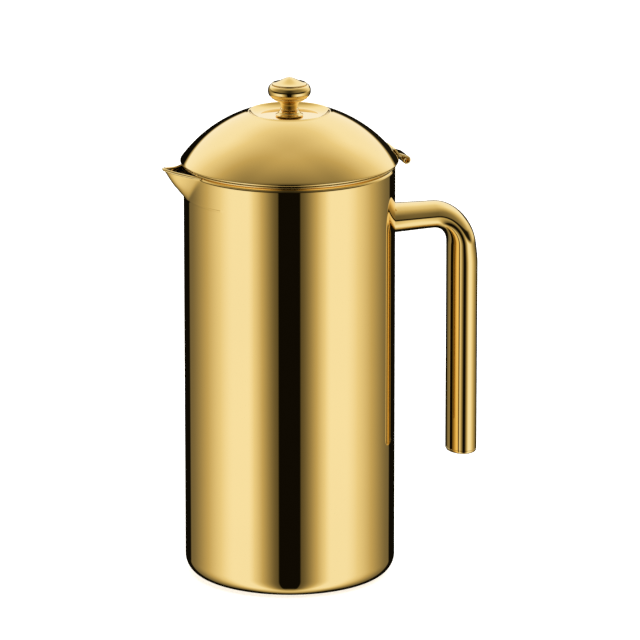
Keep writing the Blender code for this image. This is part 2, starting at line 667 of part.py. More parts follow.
def knob_outline():
    """Outer side of the knob, from its top down to its foot."""
    foot = KNOB_BOTTOM + KNOB_FOOT_HEIGHT
    neck_top = foot + KNOB_NECK_HEIGHT
    low_ring = neck_top + KNOB_STEP
    bulge = low_ring + KNOB_RING_HEIGHT
    top_ring = bulge + KNOB_BULGE_HEIGHT
    finial = top_ring + KNOB_RING_HEIGHT
    outline = []
    steps = 6
    for i in range(steps + 1):
        share = i / steps
        bell = (1.0 + cos(pi * share)) / 2.0
        rise = KNOB_FINIAL_CONE * (1.0 - share) + (1.0 - KNOB_FINIAL_CONE) * bell
        outline.append((KNOB_FINIAL_RADIUS * share, finial + KNOB_FINIAL_HEIGHT * rise))
    outline += [(KNOB_TOP_RING_RADIUS, finial - 0.4 * KNOB_RING_HEIGHT),
                (KNOB_TOP_RING_RADIUS, top_ring)]
    bulge_out = KNOB_BULGE_RADIUS - KNOB_TOP_RING_RADIUS
    half = KNOB_BULGE_HEIGHT / 2.0
    for i in range(1, 6):
        angle = pi * i / 6
        outline.append((KNOB_TOP_RING_RADIUS + bulge_out * sin(angle), bulge + half + half * cos(angle)))
    outline += [(KNOB_LOW_RING_RADIUS, bulge), (KNOB_LOW_RING_RADIUS, low_ring)]
    flare = KNOB_NECK_TOP_RADIUS - KNOB_NECK_RADIUS
    for i in range(4):
        angle = pi / 2.0 * (1.0 - i / 3)
        outline.append((KNOB_NECK_TOP_RADIUS - flare * cos(angle), foot + KNOB_NECK_HEIGHT * sin(angle)))
    outline += [(KNOB_FOOT_RADIUS, KNOB_BOTTOM)]
    return outline


def knob(plunger):
    """The turned knob, with a blind threaded hole for the rod."""
    profile = knob_outline()
    profile += [(THREAD_HOLE, KNOB_BOTTOM), (THREAD_HOLE, KNOB_BOTTOM + KNOB_THREAD_DEPTH),
                (0.0, KNOB_BOTTOM + KNOB_THREAD_DEPTH)]
    return turned("knob", profile, GOLD, plunger, steps=STEPS_SMALL, closed=False)


def plunger_rod(plunger):
    """The rod, with a thinner threaded end for the knob and another for the filter."""
    shoulder = KNOB_BOTTOM - GAP
    top = KNOB_BOTTOM + KNOB_THREAD_DEPTH - GAP
    bottom = HUB_NUT_BOTTOM + GAP
    profile = [(0.0, top), (THREAD_RADIUS, top), (THREAD_RADIUS, shoulder), (ROD_RADIUS, shoulder),
               (ROD_RADIUS, ROD_SHOULDER), (THREAD_RADIUS, ROD_SHOULDER), (THREAD_RADIUS, bottom),
               (0.0, bottom)]
    return turned("plunger_rod", profile, STEEL, plunger, steps=STEPS_ROD, closed=False)


def rod_lock_nut(plunger):
    """The nut that clamps the filter from above."""
    return nut("rod_lock_nut", NUT_RADIUS, THREAD_HOLE, LOCK_NUT_BOTTOM, LOCK_NUT_HEIGHT, plunger)


def filter_top_plate(plunger):
    """The holed plate above the mesh, whose upright rim holds the edge spring in."""
    top = TOP_PLATE_BOTTOM + SHEET
    rim = TOP_PLATE_BOTTOM + TOP_PLATE_RIM
    inner = TOP_PLATE_OUTER - SHEET
    profile = [(THREAD_HOLE, top), (inner, top), (inner, rim), (TOP_PLATE_OUTER, rim),
               (TOP_PLATE_OUTER, TOP_PLATE_BOTTOM), (THREAD_HOLE, TOP_PLATE_BOTTOM)]
    plate = turned("filter_top_plate", profile, STEEL, plunger)
    shape = bmesh.new()
    for ring_radius, count in HOLE_RINGS:
        for x, y in ring_points(ring_radius, count, pi / count):
            place = Matrix.Translation((x, y, TOP_PLATE_BOTTOM))
            bmesh.ops.create_cone(shape, cap_ends=True, segments=10, radius1=HOLE_RADIUS,
                                  radius2=HOLE_RADIUS, depth=6.0 * SHEET, matrix=place)
    holes = bpy.data.meshes.new("filter_holes")
    shape.to_mesh(holes)
    shape.free()
    combine(plate, add_cutter("filter_holes", holes))
    return plate


def filter_spring(plunger):
    """The ring of fine coils that presses the mesh against the liner."""
    height = MESH_BOTTOM + MESH_THICKNESS + GAP + SPRING_RADIUS
    profile = arc(SPRING_RING, height, SPRING_RADIUS, 0.0, 2.0 * pi, 8)[:-1]
    return turned("filter_spring", profile, STEEL, plunger)


def filter_mesh(plunger):
    """The fine mesh disc, with its edge turned up round the spring."""
    corner = MESH_OUTER - MESH_FILLET
    corner_height = MESH_BOTTOM + MESH_FILLET
    inner_fillet = MESH_FILLET - MESH_THICKNESS
    profile = [(MESH_OUTER, MESH_BOTTOM + MESH_RIM_HEIGHT)]
    profile += arc(corner, corner_height, MESH_FILLET, pi / 2.0, pi, 2)
    profile += [(THREAD_HOLE, MESH_BOTTOM), (THREAD_HOLE, MESH_BOTTOM + MESH_THICKNESS)]
    profile += arc(corner, corner_height, inner_fillet, pi, pi / 2.0, 2)
    profile += [(MESH_OUTER - MESH_THICKNESS, MESH_BOTTOM + MESH_RIM_HEIGHT)]
    return turned("filter_mesh", profile, MESH_STEEL, plunger)


def cross_window(number):
    """Outline of one opening between two spokes of the cross plate."""
    outer = CROSS_OUTER - CROSS_RIM
    half = CROSS_SPOKE_WIDTH / 2.0
    start = 2.0 * pi * number / CROSS_SPOKES
    end = start + 2.0 * pi / CROSS_SPOKES
    steps = 8
    points = []
    for i in range(steps + 1):
        low = start + asin(half / outer)
        high = end - asin(half / outer)
        angle = low + (high - low) * i / steps
        points.append((outer * cos(angle), outer * sin(angle)))
    for i in range(4):
        low = start + asin(half / CROSS_HUB_RADIUS)
        high = end - asin(half / CROSS_HUB_RADIUS)
        angle = high + (low - high) * i / 3
        points.append((CROSS_HUB_RADIUS * cos(angle), CROSS_HUB_RADIUS * sin(angle)))
    return points


def filter_cross_plate(plunger):
    """The spoked plate that carries the mesh from below."""
    outlines = [ring_points(CROSS_OUTER, STEPS_LARGE), ring_points(THREAD_HOLE, STEPS_ROD)]
    outlines += [cross_window(number) for number in range(CROSS_SPOKES)]
    return curve_piece("filter_cross_plate", outlines, CROSS_BOTTOM, CROSS_THICKNESS, STEEL, plunger)


def filter_hub_nut(plunger):
    """The nut at the end of the rod that holds the filter together."""
    return nut("filter_hub_nut", NUT_RADIUS, THREAD_HOLE, HUB_NUT_BOTTOM, HUB_NUT_HEIGHT, plunger)


def main():
    start_scene()
    pot = group("pot")
    guide = group("guide")
    lid = group("lid")
    plunger = group("plunger")

    notch = spout_cutter()
    combine(outer_shell(pot), notch)
    combine(liner(pot), notch)
    base_plate(pot)
    pouring_spout(pot)
    handle_tube(pot)
    handle_end_cap(pot)

    guide_ferrule(guide)
    guide_nut(guide)

    lid_dome(lid)
    lid_pan(lid)
    lid_collar(lid)
    thumb_tab(lid)

    knob(plunger)
    plunger_rod(plunger)
    rod_lock_nut(plunger)
    filter_top_plate(plunger)
    filter_spring(plunger)
    filter_mesh(plunger)
    filter_cross_plate(plunger)
    filter_hub_nut(plunger)


main()
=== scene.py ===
"""Looks of a gold French press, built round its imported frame.

Every piece stands at the place of the frame's node that it replaces, in metres,
with +Z up, the handle on the +X side and the pouring spout on the -X side.
"""

from math import acos, asin, atan2, cos, hypot, pi, radians, sin, sqrt, tan

import bmesh
import bpy
from bpy.props import FloatProperty, FloatVectorProperty, IntProperty, PointerProperty
from bpy.types import Operator, Panel, PropertyGroup
from mathutils import Matrix, Vector


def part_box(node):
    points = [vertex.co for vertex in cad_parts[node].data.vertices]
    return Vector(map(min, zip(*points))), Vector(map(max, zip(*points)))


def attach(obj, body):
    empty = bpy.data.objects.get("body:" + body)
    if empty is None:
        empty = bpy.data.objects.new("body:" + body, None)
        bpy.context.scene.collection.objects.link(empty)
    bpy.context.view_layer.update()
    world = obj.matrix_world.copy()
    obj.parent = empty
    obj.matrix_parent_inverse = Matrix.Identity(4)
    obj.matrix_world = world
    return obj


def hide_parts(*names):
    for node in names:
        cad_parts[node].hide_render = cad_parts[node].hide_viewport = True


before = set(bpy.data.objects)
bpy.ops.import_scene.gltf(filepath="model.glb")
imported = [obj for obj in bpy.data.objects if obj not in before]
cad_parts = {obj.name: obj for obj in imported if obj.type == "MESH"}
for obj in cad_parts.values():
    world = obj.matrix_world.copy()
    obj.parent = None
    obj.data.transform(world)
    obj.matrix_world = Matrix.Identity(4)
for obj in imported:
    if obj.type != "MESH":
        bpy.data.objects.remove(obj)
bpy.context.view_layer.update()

bl_info = {
    "name": "French Press",
    "version": (1, 0, 0),
    "blender": (4, 5, 0),
    "location": "View3D > Sidebar > Press",
    "description": "Builds a gold French press piece by piece, and a plain studio round it",
    "category": "Add Mesh",
}

MM = 0.001
MERGE = 0.000001
GOLD = "polished_gold"
STEEL = "brushed_steel"
MESH_STEEL = "steel_mesh"

SHELL_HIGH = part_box("outer_shell")[1]
LINER_LOW, LINER_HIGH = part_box("liner")
SPOUT_LOW, SPOUT_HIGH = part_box("pouring_spout")
BASE_LOW, BASE_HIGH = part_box("base_plate")
TUBE_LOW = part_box("handle_tube")[0]
CAP_LOW, CAP_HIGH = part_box("handle_end_cap")
DOME_LOW, DOME_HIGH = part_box("lid_dome")
PAN_LOW, PAN_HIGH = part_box("lid_pan")
COLLAR_LOW, COLLAR_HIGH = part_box("lid_collar")
TAB_LOW, TAB_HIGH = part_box("thumb_tab")
FERRULE_LOW, FERRULE_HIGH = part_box("guide_ferrule")
KNOB_LOW, KNOB_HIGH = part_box("knob")
ROD_LOW, ROD_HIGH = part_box("plunger_rod")
PLATE_LOW, PLATE_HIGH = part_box("filter_top_plate")
SPRING_LOW, SPRING_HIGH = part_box("filter_spring")
MESH_LOW, MESH_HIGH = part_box("filter_mesh")
CROSS_LOW, CROSS_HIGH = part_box("filter_cross_plate")

SPOUT_SECTOR = radians(34.0)  # half of the wall that the spout is pressed from
LIP_SHEET = 0.85 * MM         # outer wall to inner wall at the spout
ROD_HOLE = 2.3 * MM           # radius, in the knob and in the filter's plates
NUT_HOLE = 2.1 * MM           # radius, in the nuts on the rod's threads


# ---------------------------------------------------------------- settings

class PotSettings(PropertyGroup):
    """Sizes of the pot, its spout and its handle."""

    radius: FloatProperty(name="Radius", description="Outside of the straight wall",
                          default=SHELL_HIGH.x, unit="LENGTH")
    bottom_round: FloatProperty(name="Bottom Rounding", description="Radius of the bottom edge",
                                default=8.2 * MM, unit="LENGTH")
    sheet: FloatProperty(name="Sheet", description="Thickness of the pressed sheet",
                         default=0.6 * MM, unit="LENGTH")
    rim_round: FloatProperty(name="Rim Rounding", description="Radius of the outer edge of the rim",
                             default=2.0 * MM, unit="LENGTH")
    inside: FloatProperty(name="Inside Radius", description="Inside of the inner pot",
                          default=45.0 * MM, unit="LENGTH")
    spout_half_width: FloatProperty(name="Spout Half Width", description="Where it leaves the rim",
                                    default=16.0 * MM, unit="LENGTH")
    spout_depth: FloatProperty(name="Spout Depth", description="Rim down to the foot of the ridge",
                               default=14.3 * MM, unit="LENGTH")
    spout_bead: FloatProperty(name="Spout Bead", description="Radius of the rolled lip",
                              default=0.7 * MM, unit="LENGTH")
    handle_bend: FloatProperty(name="Handle Bend", description="Bend radius of the centre line",
                               default=14.7 * MM, unit="LENGTH")
    handle_drop: FloatProperty(name="Handle Drop", description="Rim down to the arm at the wall",
                               default=29.6 * MM, unit="LENGTH")


class LidSettings(PropertyGroup):
    """Sizes of the lid and of the knob."""

    dome_radius: FloatProperty(name="Dome Radius", description="Radius of the dome's sphere",
                               default=63.65 * MM, unit="LENGTH")
    dish_radius: FloatProperty(name="Dish Radius", description="Rim of the dish on the dome",
                               default=19.4 * MM, unit="LENGTH")
    dish_depth: FloatProperty(name="Dish Depth", description="Rim of the dish to its floor",
                              default=2.2 * MM, unit="LENGTH")
    knob_bulge: FloatProperty(name="Knob Bulge", description="Largest radius of the knob",
                              default=KNOB_HIGH.x, unit="LENGTH")
    slots: IntProperty(name="Slots", description="Straining slots on each side", default=6)


class FilterSettings(PropertyGroup):
    """Sizes of the filter."""

    coils: IntProperty(name="Coils", description="Turns of the edge spring", default=210)
    wire: FloatProperty(name="Spring Wire", description="Radius of the spring's wire",
                        default=0.3 * MM, unit="LENGTH")
    weave_pitch: FloatProperty(name="Weave Pitch", description="Distance between woven wires",
                               default=0.9 * MM, unit="LENGTH")


class FinishSettings(PropertyGroup):
    """Colours and polish of the metals."""

    gold: FloatVectorProperty(name="Gold", description="Colour of the gold plating",
                              default=(0.93, 0.70, 0.30), size=3, subtype="COLOR", min=0.0, max=1.0)
    steel: FloatVectorProperty(name="Steel", description="Colour of the brushed steel",
                               default=(0.62, 0.61, 0.59), size=3, subtype="COLOR", min=0.0, max=1.0)
    gold_roughness: FloatProperty(name="Gold Roughness", description="Polish of the gold",
                                  default=0.015, subtype="FACTOR")
    steel_roughness: FloatProperty(name="Steel Roughness", description="Polish of the steel",
                                   default=0.24, subtype="FACTOR")


class StageSettings(PropertyGroup):
    """Camera and studio."""

    azimuth: FloatProperty(name="Azimuth", description="Camera's turn round the press",
                           default=radians(-16.2), subtype="ANGLE")
    elevation: FloatProperty(name="Elevation", description="Camera's angle above the table",
                             default=radians(15.04), subtype="ANGLE")
    distance: FloatProperty(name="Distance", description="Camera to the press", default=3.0,
                            unit="LENGTH")
    lens: FloatProperty(name="Lens", description="Focal length in millimetres", default=355.6)
    aim_right: FloatProperty(name="Aim Right", description="Aim beside the pot's axis",
                             default=14.4 * MM, unit="LENGTH")
    aim_height: FloatProperty(name="Aim Height", description="Aim above the table",
                              default=123.1 * MM, unit="LENGTH")


# ---------------------------------------------------------------- materials

def new_group(name, inputs, outputs):
    """A shader node group with named float inputs and outputs."""
    group = bpy.data.node_groups.new(name, "ShaderNodeTree")
    for label, value in inputs:
        socket = group.interface.new_socket(label, in_out="INPUT", socket_type="NodeSocketFloat")
        socket.default_value = value
    for label, kind in outputs:
        group.interface.new_socket(label, in_out="OUTPUT", socket_type=kind)
    return group, group.nodes.new("NodeGroupInput"), group.nodes.new("NodeGroupOutput")


def math_node(tree, operation, first, second=None, third=None):
    """A Math node fed by sockets or numbers, which gives its result."""
    node = tree.nodes.new("ShaderNodeMath")
    node.operation = operation
    for slot, value in enumerate((first, second, third)):
        if value is None:
            continue
        if isinstance(value, (int, float)):
            node.inputs[slot].default_value = value
        else:
            tree.links.new(value, node.inputs[slot])
    return node.outputs[0]


def smooth_step(tree, value, low, high, start=0.0, end=1.0):
    """A smooth change from start to end as the value goes from low to high."""
    node = tree.nodes.new("ShaderNodeMapRange")
    node.interpolation_type = "SMOOTHSTEP"
    for label, number in (("From Min", low), ("From Max", high), ("To Min", start), ("To Max", end)):
        node.inputs[label].default_value = number
    tree.links.new(value, node.inputs["Value"])
    return node.outputs["Result"]


def flat_length(tree, x, y):
    """Length of the flat vector (x, y)."""
    return math_node(tree, "SQRT", math_node(tree, "ADD", math_node(tree, "MULTIPLY", x, x),
                                             math_node(tree, "MULTIPLY", y, y)))


def turned_coordinates(tree, across, along):
    """Coordinates whose pattern runs in rings round +Z: fine across the rings, long along them."""
    places = tree.nodes.new("ShaderNodeTexCoord").outputs["Object"]
    split = tree.nodes.new("ShaderNodeSeparateXYZ")
    tree.links.new(places, split.inputs[0])
    x, y, z = split.outputs
    radius = flat_length(tree, x, y)
    joined = tree.nodes.new("ShaderNodeCombineXYZ")
    turn_x = math_node(tree, "DIVIDE", x, math_node(tree, "ADD", radius, 0.0001))
    turn_y = math_node(tree, "DIVIDE", y, math_node(tree, "ADD", radius, 0.0001))
    rings = math_node(tree, "MULTIPLY", math_node(tree, "ADD", radius, z), across)
    tree.links.new(math_node(tree, "MULTIPLY", turn_x, along), joined.inputs[0])
    tree.links.new(math_node(tree, "MULTIPLY", turn_y, along), joined.inputs[1])
    tree.links.new(rings, joined.inputs[2])
    return joined.outputs[0]


def noise(tree, vector, scale, detail=3.0, roughness=0.5):
    """A noise texture's value."""
    node = tree.nodes.new("ShaderNodeTexNoise")
    node.inputs["Scale"].default_value = scale
    node.inputs["Detail"].default_value = detail
    node.inputs["Roughness"].default_value = roughness
    tree.links.new(vector, node.inputs["Vector"])
    return node.outputs["Fac"]


def turned_grain_group():
    """Fine lines left by turning and brushing, in rings round the axis."""
    tree, given, result = new_group("turned_grain", [("Across", 2600.0), ("Along", 3.0)],
                                    [("Lines", "NodeSocketFloat")])
    vector = turned_coordinates(tree, given.outputs["Across"], given.outputs["Along"])
    fine = noise(tree, vector, 1.0, 4.0, 0.65)
    tree.links.new(fine, result.inputs["Lines"])
    return tree


def handling_group():
    """Soft patches where hands and cloths have dulled the polish."""
    tree, given, result = new_group("handling", [("Scale", 38.0), ("Amount", 0.02)],
                                    [("Roughness", "NodeSocketFloat"), ("Mask", "NodeSocketFloat")])
    places = tree.nodes.new("ShaderNodeTexCoord").outputs["Object"]
    patches = tree.nodes.new("ShaderNodeTexNoise")
    patches.inputs["Detail"].default_value = 5.0
    patches.inputs["Roughness"].default_value = 0.62
    tree.links.new(places, patches.inputs["Vector"])
    tree.links.new(given.outputs["Scale"], patches.inputs["Scale"])
    mask = smooth_step(tree, patches.outputs["Fac"], 0.48, 0.72)
    amount = math_node(tree, "MULTIPLY", mask, given.outputs["Amount"])
    tree.links.new(amount, result.inputs["Roughness"])
    tree.links.new(mask, result.inputs["Mask"])
    return tree


def tone_group():
    """A slow drift of the plating's colour between two tones."""
    tree, given, result = new_group("plating_tone", [("Scale", 14.0)],
                                    [("Color", "NodeSocketColor")])
    for label in ("Light", "Deep"):
        tree.interface.new_socket(label, in_out="INPUT", socket_type="NodeSocketColor")
    places = tree.nodes.new("ShaderNodeTexCoord").outputs["Object"]
    drift = tree.nodes.new("ShaderNodeTexNoise")
    drift.inputs["Detail"].default_value = 2.0
    tree.links.new(places, drift.inputs["Vector"])
    tree.links.new(given.outputs["Scale"], drift.inputs["Scale"])
    mix = tree.nodes.new("ShaderNodeMix")
    mix.data_type = "RGBA"
    tree.links.new(smooth_step(tree, drift.outputs["Fac"], 0.35, 0.65), mix.inputs["Factor"])
    tree.links.new(given.outputs["Light"], mix.inputs[6])
    tree.links.new(given.outputs["Deep"], mix.inputs[7])
    tree.links.new(mix.outputs[2], result.inputs["Color"])
    return tree


def weave_group():
    """The crossing wires of a fine metal cloth, as a height."""
    tree, given, result = new_group("metal_cloth", [("Pitch", 0.00045)],
                                    [("Height", "NodeSocketFloat")])
    places = tree.nodes.new("ShaderNodeTexCoord").outputs["Object"]
    split = tree.nodes.new("ShaderNodeSeparateXYZ")
    tree.links.new(places, split.inputs[0])
    angle = math_node(tree, "ARCTAN2", split.outputs[1], split.outputs[0])
    rings = math_node(tree, "MULTIPLY", angle, MESH_HIGH.x)
    waves = []
    for value in (rings, split.outputs[2]):
        turn = math_node(tree, "MULTIPLY", math_node(tree, "DIVIDE", value, given.outputs["Pitch"]),
                         2.0 * pi)
        waves.append(math_node(tree, "ABSOLUTE", math_node(tree, "SINE", turn)))
    tree.links.new(math_node(tree, "MAXIMUM", *waves), result.inputs["Height"])
    return tree


GROUP_MAKERS = {
    "turned_grain": turned_grain_group,
    "handling": handling_group,
    "plating_tone": tone_group,
    "metal_cloth": weave_group,
}


def use_group(tree, name, **values):
    """Place a shared node group, made when it is first asked for, with its own values."""
    node = tree.nodes.new("ShaderNodeGroup")
    node.node_tree = bpy.data.node_groups.get(name) or GROUP_MAKERS[name]()
    for label, value in values.items():
        node.inputs[label.title()].default_value = value
    return node


def metal(name, colour, deep, roughness, dulling, grain_across, grain_depth, grain_roughness=0.0):
    """A metal with a drifting tone, turned lines and dulled patches."""
    material = bpy.data.materials.get(name)
    if material:
        return material
    material = bpy.data.materials.new(name)
    material.use_nodes = True
    tree = material.node_tree
    shader = tree.nodes["Principled BSDF"]
    shader.inputs["Metallic"].default_value = 1.0
    tone = use_group(tree, "plating_tone", light=(*colour, 1.0), deep=(*deep, 1.0))
    tree.links.new(tone.outputs["Color"], shader.inputs["Base Color"])
    handling = use_group(tree, "handling", amount=dulling)
    grain = use_group(tree, "turned_grain", across=grain_across)
    base = math_node(tree, "ADD", handling.outputs["Roughness"], roughness)
    lines = math_node(tree, "MULTIPLY_ADD", grain.outputs["Lines"], grain_roughness, base)
    tree.links.new(lines, shader.inputs["Roughness"])
    bump = tree.nodes.new("ShaderNodeBump")
    bump.inputs["Strength"].default_value = 1.0
    bump.inputs["Distance"].default_value = grain_depth
    tree.links.new(grain.outputs["Lines"], bump.inputs["Height"])
    tree.links.new(bump.outputs["Normal"], shader.inputs["Normal"])
    return material


def gold_material(finishes):
    """Mirror-polished gold plating."""
    gold = Vector(finishes.gold)
    return metal("polished_gold_plating", gold, gold * 0.985, finishes.gold_roughness, 0.010,
                 2600.0, 0.0000004)


def steel_material(finishes):
    """Steel brushed in rings."""
    steel = Vector(finishes.steel)
    return metal("brushed_steel_rings", steel, steel * 0.94, finishes.steel_roughness, 0.06,
                 5200.0, 0.000004, 0.10)


def bright_steel_material(finishes):
    """Drawn steel, smoother than the brushed sheet, for rods, nuts and wire."""
    steel = Vector(finishes.steel)
    return metal("drawn_steel", steel * 1.06, steel * 0.98, 0.16, 0.05, 7000.0, 0.000002, 0.06)


def cloth_material(finishes):
    """The fine steel cloth of the filter's hem."""
    steel = Vector(finishes.steel) * 0.85
    material = metal("steel_cloth", steel, steel * 0.9, 0.32, 0.05, 5200.0, 0.0)
    tree = material.node_tree
    bump = tree.nodes["Bump"]
    cloth = use_group(tree, "metal_cloth")
    bump.inputs["Distance"].default_value = 0.00006
    tree.links.new(cloth.outputs["Height"], bump.inputs["Height"])
    return material


# ---------------------------------------------------------------- shapes

def arc(centre_radius, centre_height, radius, start, end, count):
    """Profile points on a circle, by angle from the upward vertical, clockwise."""
    points = []
    for i in range(count + 1):
        angle = start + (end - start) * i / count
        points.append((centre_radius + radius * sin(angle), centre_height + radius * cos(angle)))
    return points


def spread(first, last, count):
    """Points evenly spaced on the straight line between two profile points, ends left out."""
    return [tuple(a + (b - a) * i / count for a, b in zip(first, last)) for i in range(1, count)]


def softened(profile, radius, count=4, closed=True):
    """A profile with each of its corners rounded, as far as its sides leave room."""
    least_turn = radians(20.0)
    most_of_side = 0.45
    points = []
    total = len(profile)
    for i, corner in enumerate(profile):
        if not closed and i in (0, total - 1):
            points.append(corner)
            continue
        here = Vector(corner)
        before = Vector(profile[i - 1]) - here
        after = Vector(profile[(i + 1) % total]) - here
        turn = pi - before.angle(after)
        if turn < least_turn:
            points.append(corner)
            continue
        room = most_of_side * min(before.length, after.length)
        reach = min(radius * tan(turn / 2.0), room)
        start = here + before.normalized() * reach
        end = here + after.normalized() * reach
        for step in range(count + 1):
            share = step / count
            point = start.lerp(here, share).lerp(here.lerp(end, share), share)
            points.append(tuple(point))
    return points


def spin(shape, profile, steps, closed=True, first=0.0, angle=2.0 * pi):
    """Turn a profile of (radius, height) points round +Z."""
    place = Matrix.Rotation(first, 4, "Z")
    points = [shape.verts.new(place @ Vector((radius, 0.0, height))) for radius, height in profile]
    edges = [shape.edges.new(pair) for pair in zip(points, points[1:])]
    if closed:
        edges.append(shape.edges.new((points[-1], points[0])))
    bmesh.ops.spin(shape, geom=points + edges, cent=(0.0, 0.0, 0.0), axis=(0.0, 0.0, 1.0),
                   dvec=(0.0, 0.0, 0.0), angle=angle, steps=steps,
                   use_merge=angle > 6.28, use_duplicate=False)


def sweep(shape, outline, stations, capped=True):
    """Carry a closed outline, drawn in its own XY plane, through a list of placing matrices."""
    ring = [shape.verts.new(stations[0] @ Vector((x, y, 0.0))) for x, y in outline]
    edges = [shape.edges.new(pair) for pair in zip(ring, ring[1:] + ring[:1])]
    first = list(edges)
    for before, after in zip(stations, stations[1:]):
        made = bmesh.ops.extrude_edge_only(shape, edges=edges)["geom"]
        edges = [part for part in made if isinstance(part, bmesh.types.BMEdge) and part.is_boundary]
        points = [part for part in made if isinstance(part, bmesh.types.BMVert)]
        bmesh.ops.transform(shape, matrix=after @ before.inverted(), verts=points)
    if capped:
        bmesh.ops.edgeloop_fill(shape, edges=first)
        bmesh.ops.edgeloop_fill(shape, edges=edges)


def rounded_outline(width, height, radius, count=3):
    """A rectangle with round corners, centred on the origin."""
    points = []
    for quarter, (side, up) in enumerate(((1, 1), (-1, 1), (-1, -1), (1, -1))):
        x = side * (width / 2.0 - radius)
        y = up * (height / 2.0 - radius)
        for i in range(count + 1):
            angle = pi / 2.0 * (quarter + i / count)
            points.append((x + radius * cos(angle), y + radius * sin(angle)))
    return points


def ellipse_outline(half_x, half_y, count):
    """An ellipse centred on the origin."""
    angles = [2.0 * pi * i / count for i in range(count)]
    return [(half_x * cos(angle), half_y * sin(angle)) for angle in angles]


def station(point, heading, scale_x=1.0, scale_y=1.0):
    """A placing matrix in the XZ plane: local X is +Y, and local Z goes along the heading."""
    along = Vector((cos(heading), 0.0, sin(heading)))
    aside = Vector((0.0, 1.0, 0.0))
    up = along.cross(aside)
    matrix = Matrix((aside, up, along)).transposed().to_4x4()
    return Matrix.Translation(point) @ matrix @ Matrix.Diagonal((scale_x, scale_y, 1.0, 1.0))


def path_stations(path):
    """Placing matrices along a path of (x, z) points in the XZ plane."""
    stations = []
    for i, (x, z) in enumerate(path):
        x0, z0 = path[max(i - 1, 0)]
        x1, z1 = path[min(i + 1, len(path) - 1)]
        stations.append(station((x, 0.0, z), atan2(z1 - z0, x1 - x0)))
    return stations


def whole(shape):
    """All points, edges and faces of a shape."""
    return shape.verts[:] + shape.edges[:] + shape.faces[:]


def weld(shape):
    """Merge the doubles of a shape and turn its faces outwards."""
    bmesh.ops.remove_doubles(shape, verts=shape.verts, dist=MERGE)
    bmesh.ops.dissolve_degenerate(shape, edges=shape.edges, dist=MERGE)
    bmesh.ops.recalc_face_normals(shape, faces=shape.faces)


def add_piece(name, shape, body, slot, material, *nodes, sharp=radians(38.0), welded=True):
    """Make a shape a finished piece that rides on a body and stands for the given nodes."""
    if welded:
        weld(shape)
    shape.edges.index_update()
    borders = [edge.index for edge in shape.edges if edge.is_boundary]
    mesh = bpy.data.meshes.new(name)
    shape.to_mesh(mesh)
    shape.free()
    mesh.shade_smooth()
    mesh.set_sharp_from_angle(angle=sharp)
    flags = mesh.attributes.get("sharp_edge") or mesh.attributes.new("sharp_edge", "BOOLEAN", "EDGE")
    for edge in borders:
        flags.data[edge].value = True
    mesh.materials.append(material)
    obj = bpy.data.objects.new(name, mesh)
    bpy.context.scene.collection.objects.link(obj)
    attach(obj, body)
    if nodes:
        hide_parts(*nodes)
    return obj


def thicken(obj, thickness):
    """Give an open skin a wall on its inner side."""
    wall = obj.modifiers.new("sheet", "SOLIDIFY")
    wall.thickness = thickness
    wall.offset = -1.0
    wall.use_even_offset = True


def spun_piece(name, profile, body, slot, material, *nodes, steps=180, closed=True, soft=0.0):
    """A turned piece, whose corners are softened if soft isn't zero."""
    shape = bmesh.new()
    if soft:
        profile = softened(profile, soft, closed=closed)
    spin(shape, profile, steps, closed)
    return add_piece(name, shape, body, slot, material, *nodes)


def plate_piece(name, outlines, bottom, top, edge, body, slot, material, *nodes):
    """A flat plate with softened edges, from its outer outline and the outlines of its holes."""
    curve = bpy.data.curves.new(name, "CURVE")
    curve.dimensions = "2D"
    curve.fill_mode = "BOTH"
    curve.extrude = (top - bottom) / 2.0 - edge
    curve.bevel_depth = edge
    curve.bevel_resolution = 2
    curve.offset = -edge
    for outline in outlines:
        spline = curve.splines.new("POLY")
        spline.points.add(len(outline) - 1)
        for point, (x, y) in zip(spline.points, outline):
            point.co = (x, y, 0.0, 1.0)
        spline.use_cyclic_u = True
    guide = bpy.data.objects.new(name + "_guide", curve)
    bpy.context.scene.collection.objects.link(guide)
    flat = bpy.data.meshes.new_from_object(guide.evaluated_get(bpy.context.evaluated_depsgraph_get()))
    bpy.data.objects.remove(guide, do_unlink=True)
    shape = bmesh.new()
    shape.from_mesh(flat)
    bmesh.ops.translate(shape, verts=shape.verts, vec=(0.0, 0.0, (bottom + top) / 2.0))
    return add_piece(name, shape, body, slot, material, *nodes)


def ring_points(radius, count, first=0.0):
    """Points evenly spaced round the axis."""
    angles = [first + 2.0 * pi * i / count for i in range(count)]
    return [(radius * cos(angle), radius * sin(angle)) for angle in angles]


def nut_piece(name, node, hole, body, material):
    """A hexagon nut with chamfered faces, cut from a turned blank."""
    low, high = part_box(node)
    corner = max(high.x, high.y)
    chamfer = 0.12 * corner
    profile = [(hole, low.z + 0.2 * MM), (hole, high.z - 0.2 * MM), (hole + 0.3 * MM, high.z),
               (corner - 1.4 * chamfer, high.z), (corner, high.z - 0.5 * chamfer),
               (corner, low.z + 0.5 * chamfer), (corner - 1.4 * chamfer, low.z),
               (hole + 0.3 * MM, low.z)]
    shape = bmesh.new()
    spin(shape, profile, 96)
    weld(shape)
    flat = corner * cos(pi / 6.0)
    for side in range(6):
        angle = pi / 6.0 + side * pi / 3.0
        normal = Vector((cos(angle), sin(angle), 0.0))
        cut = bmesh.ops.bisect_plane(shape, geom=whole(shape), dist=MERGE, plane_co=normal * flat,
                                     plane_no=normal, clear_outer=True)
        rim = [part for part in cut["geom_cut"] if isinstance(part, bmesh.types.BMEdge)]
        bmesh.ops.edgenet_fill(shape, edges=rim)
    return add_piece(name, shape, body, STEEL, material, node, sharp=radians(25.0))


# ---------------------------------------------------------------- the pot

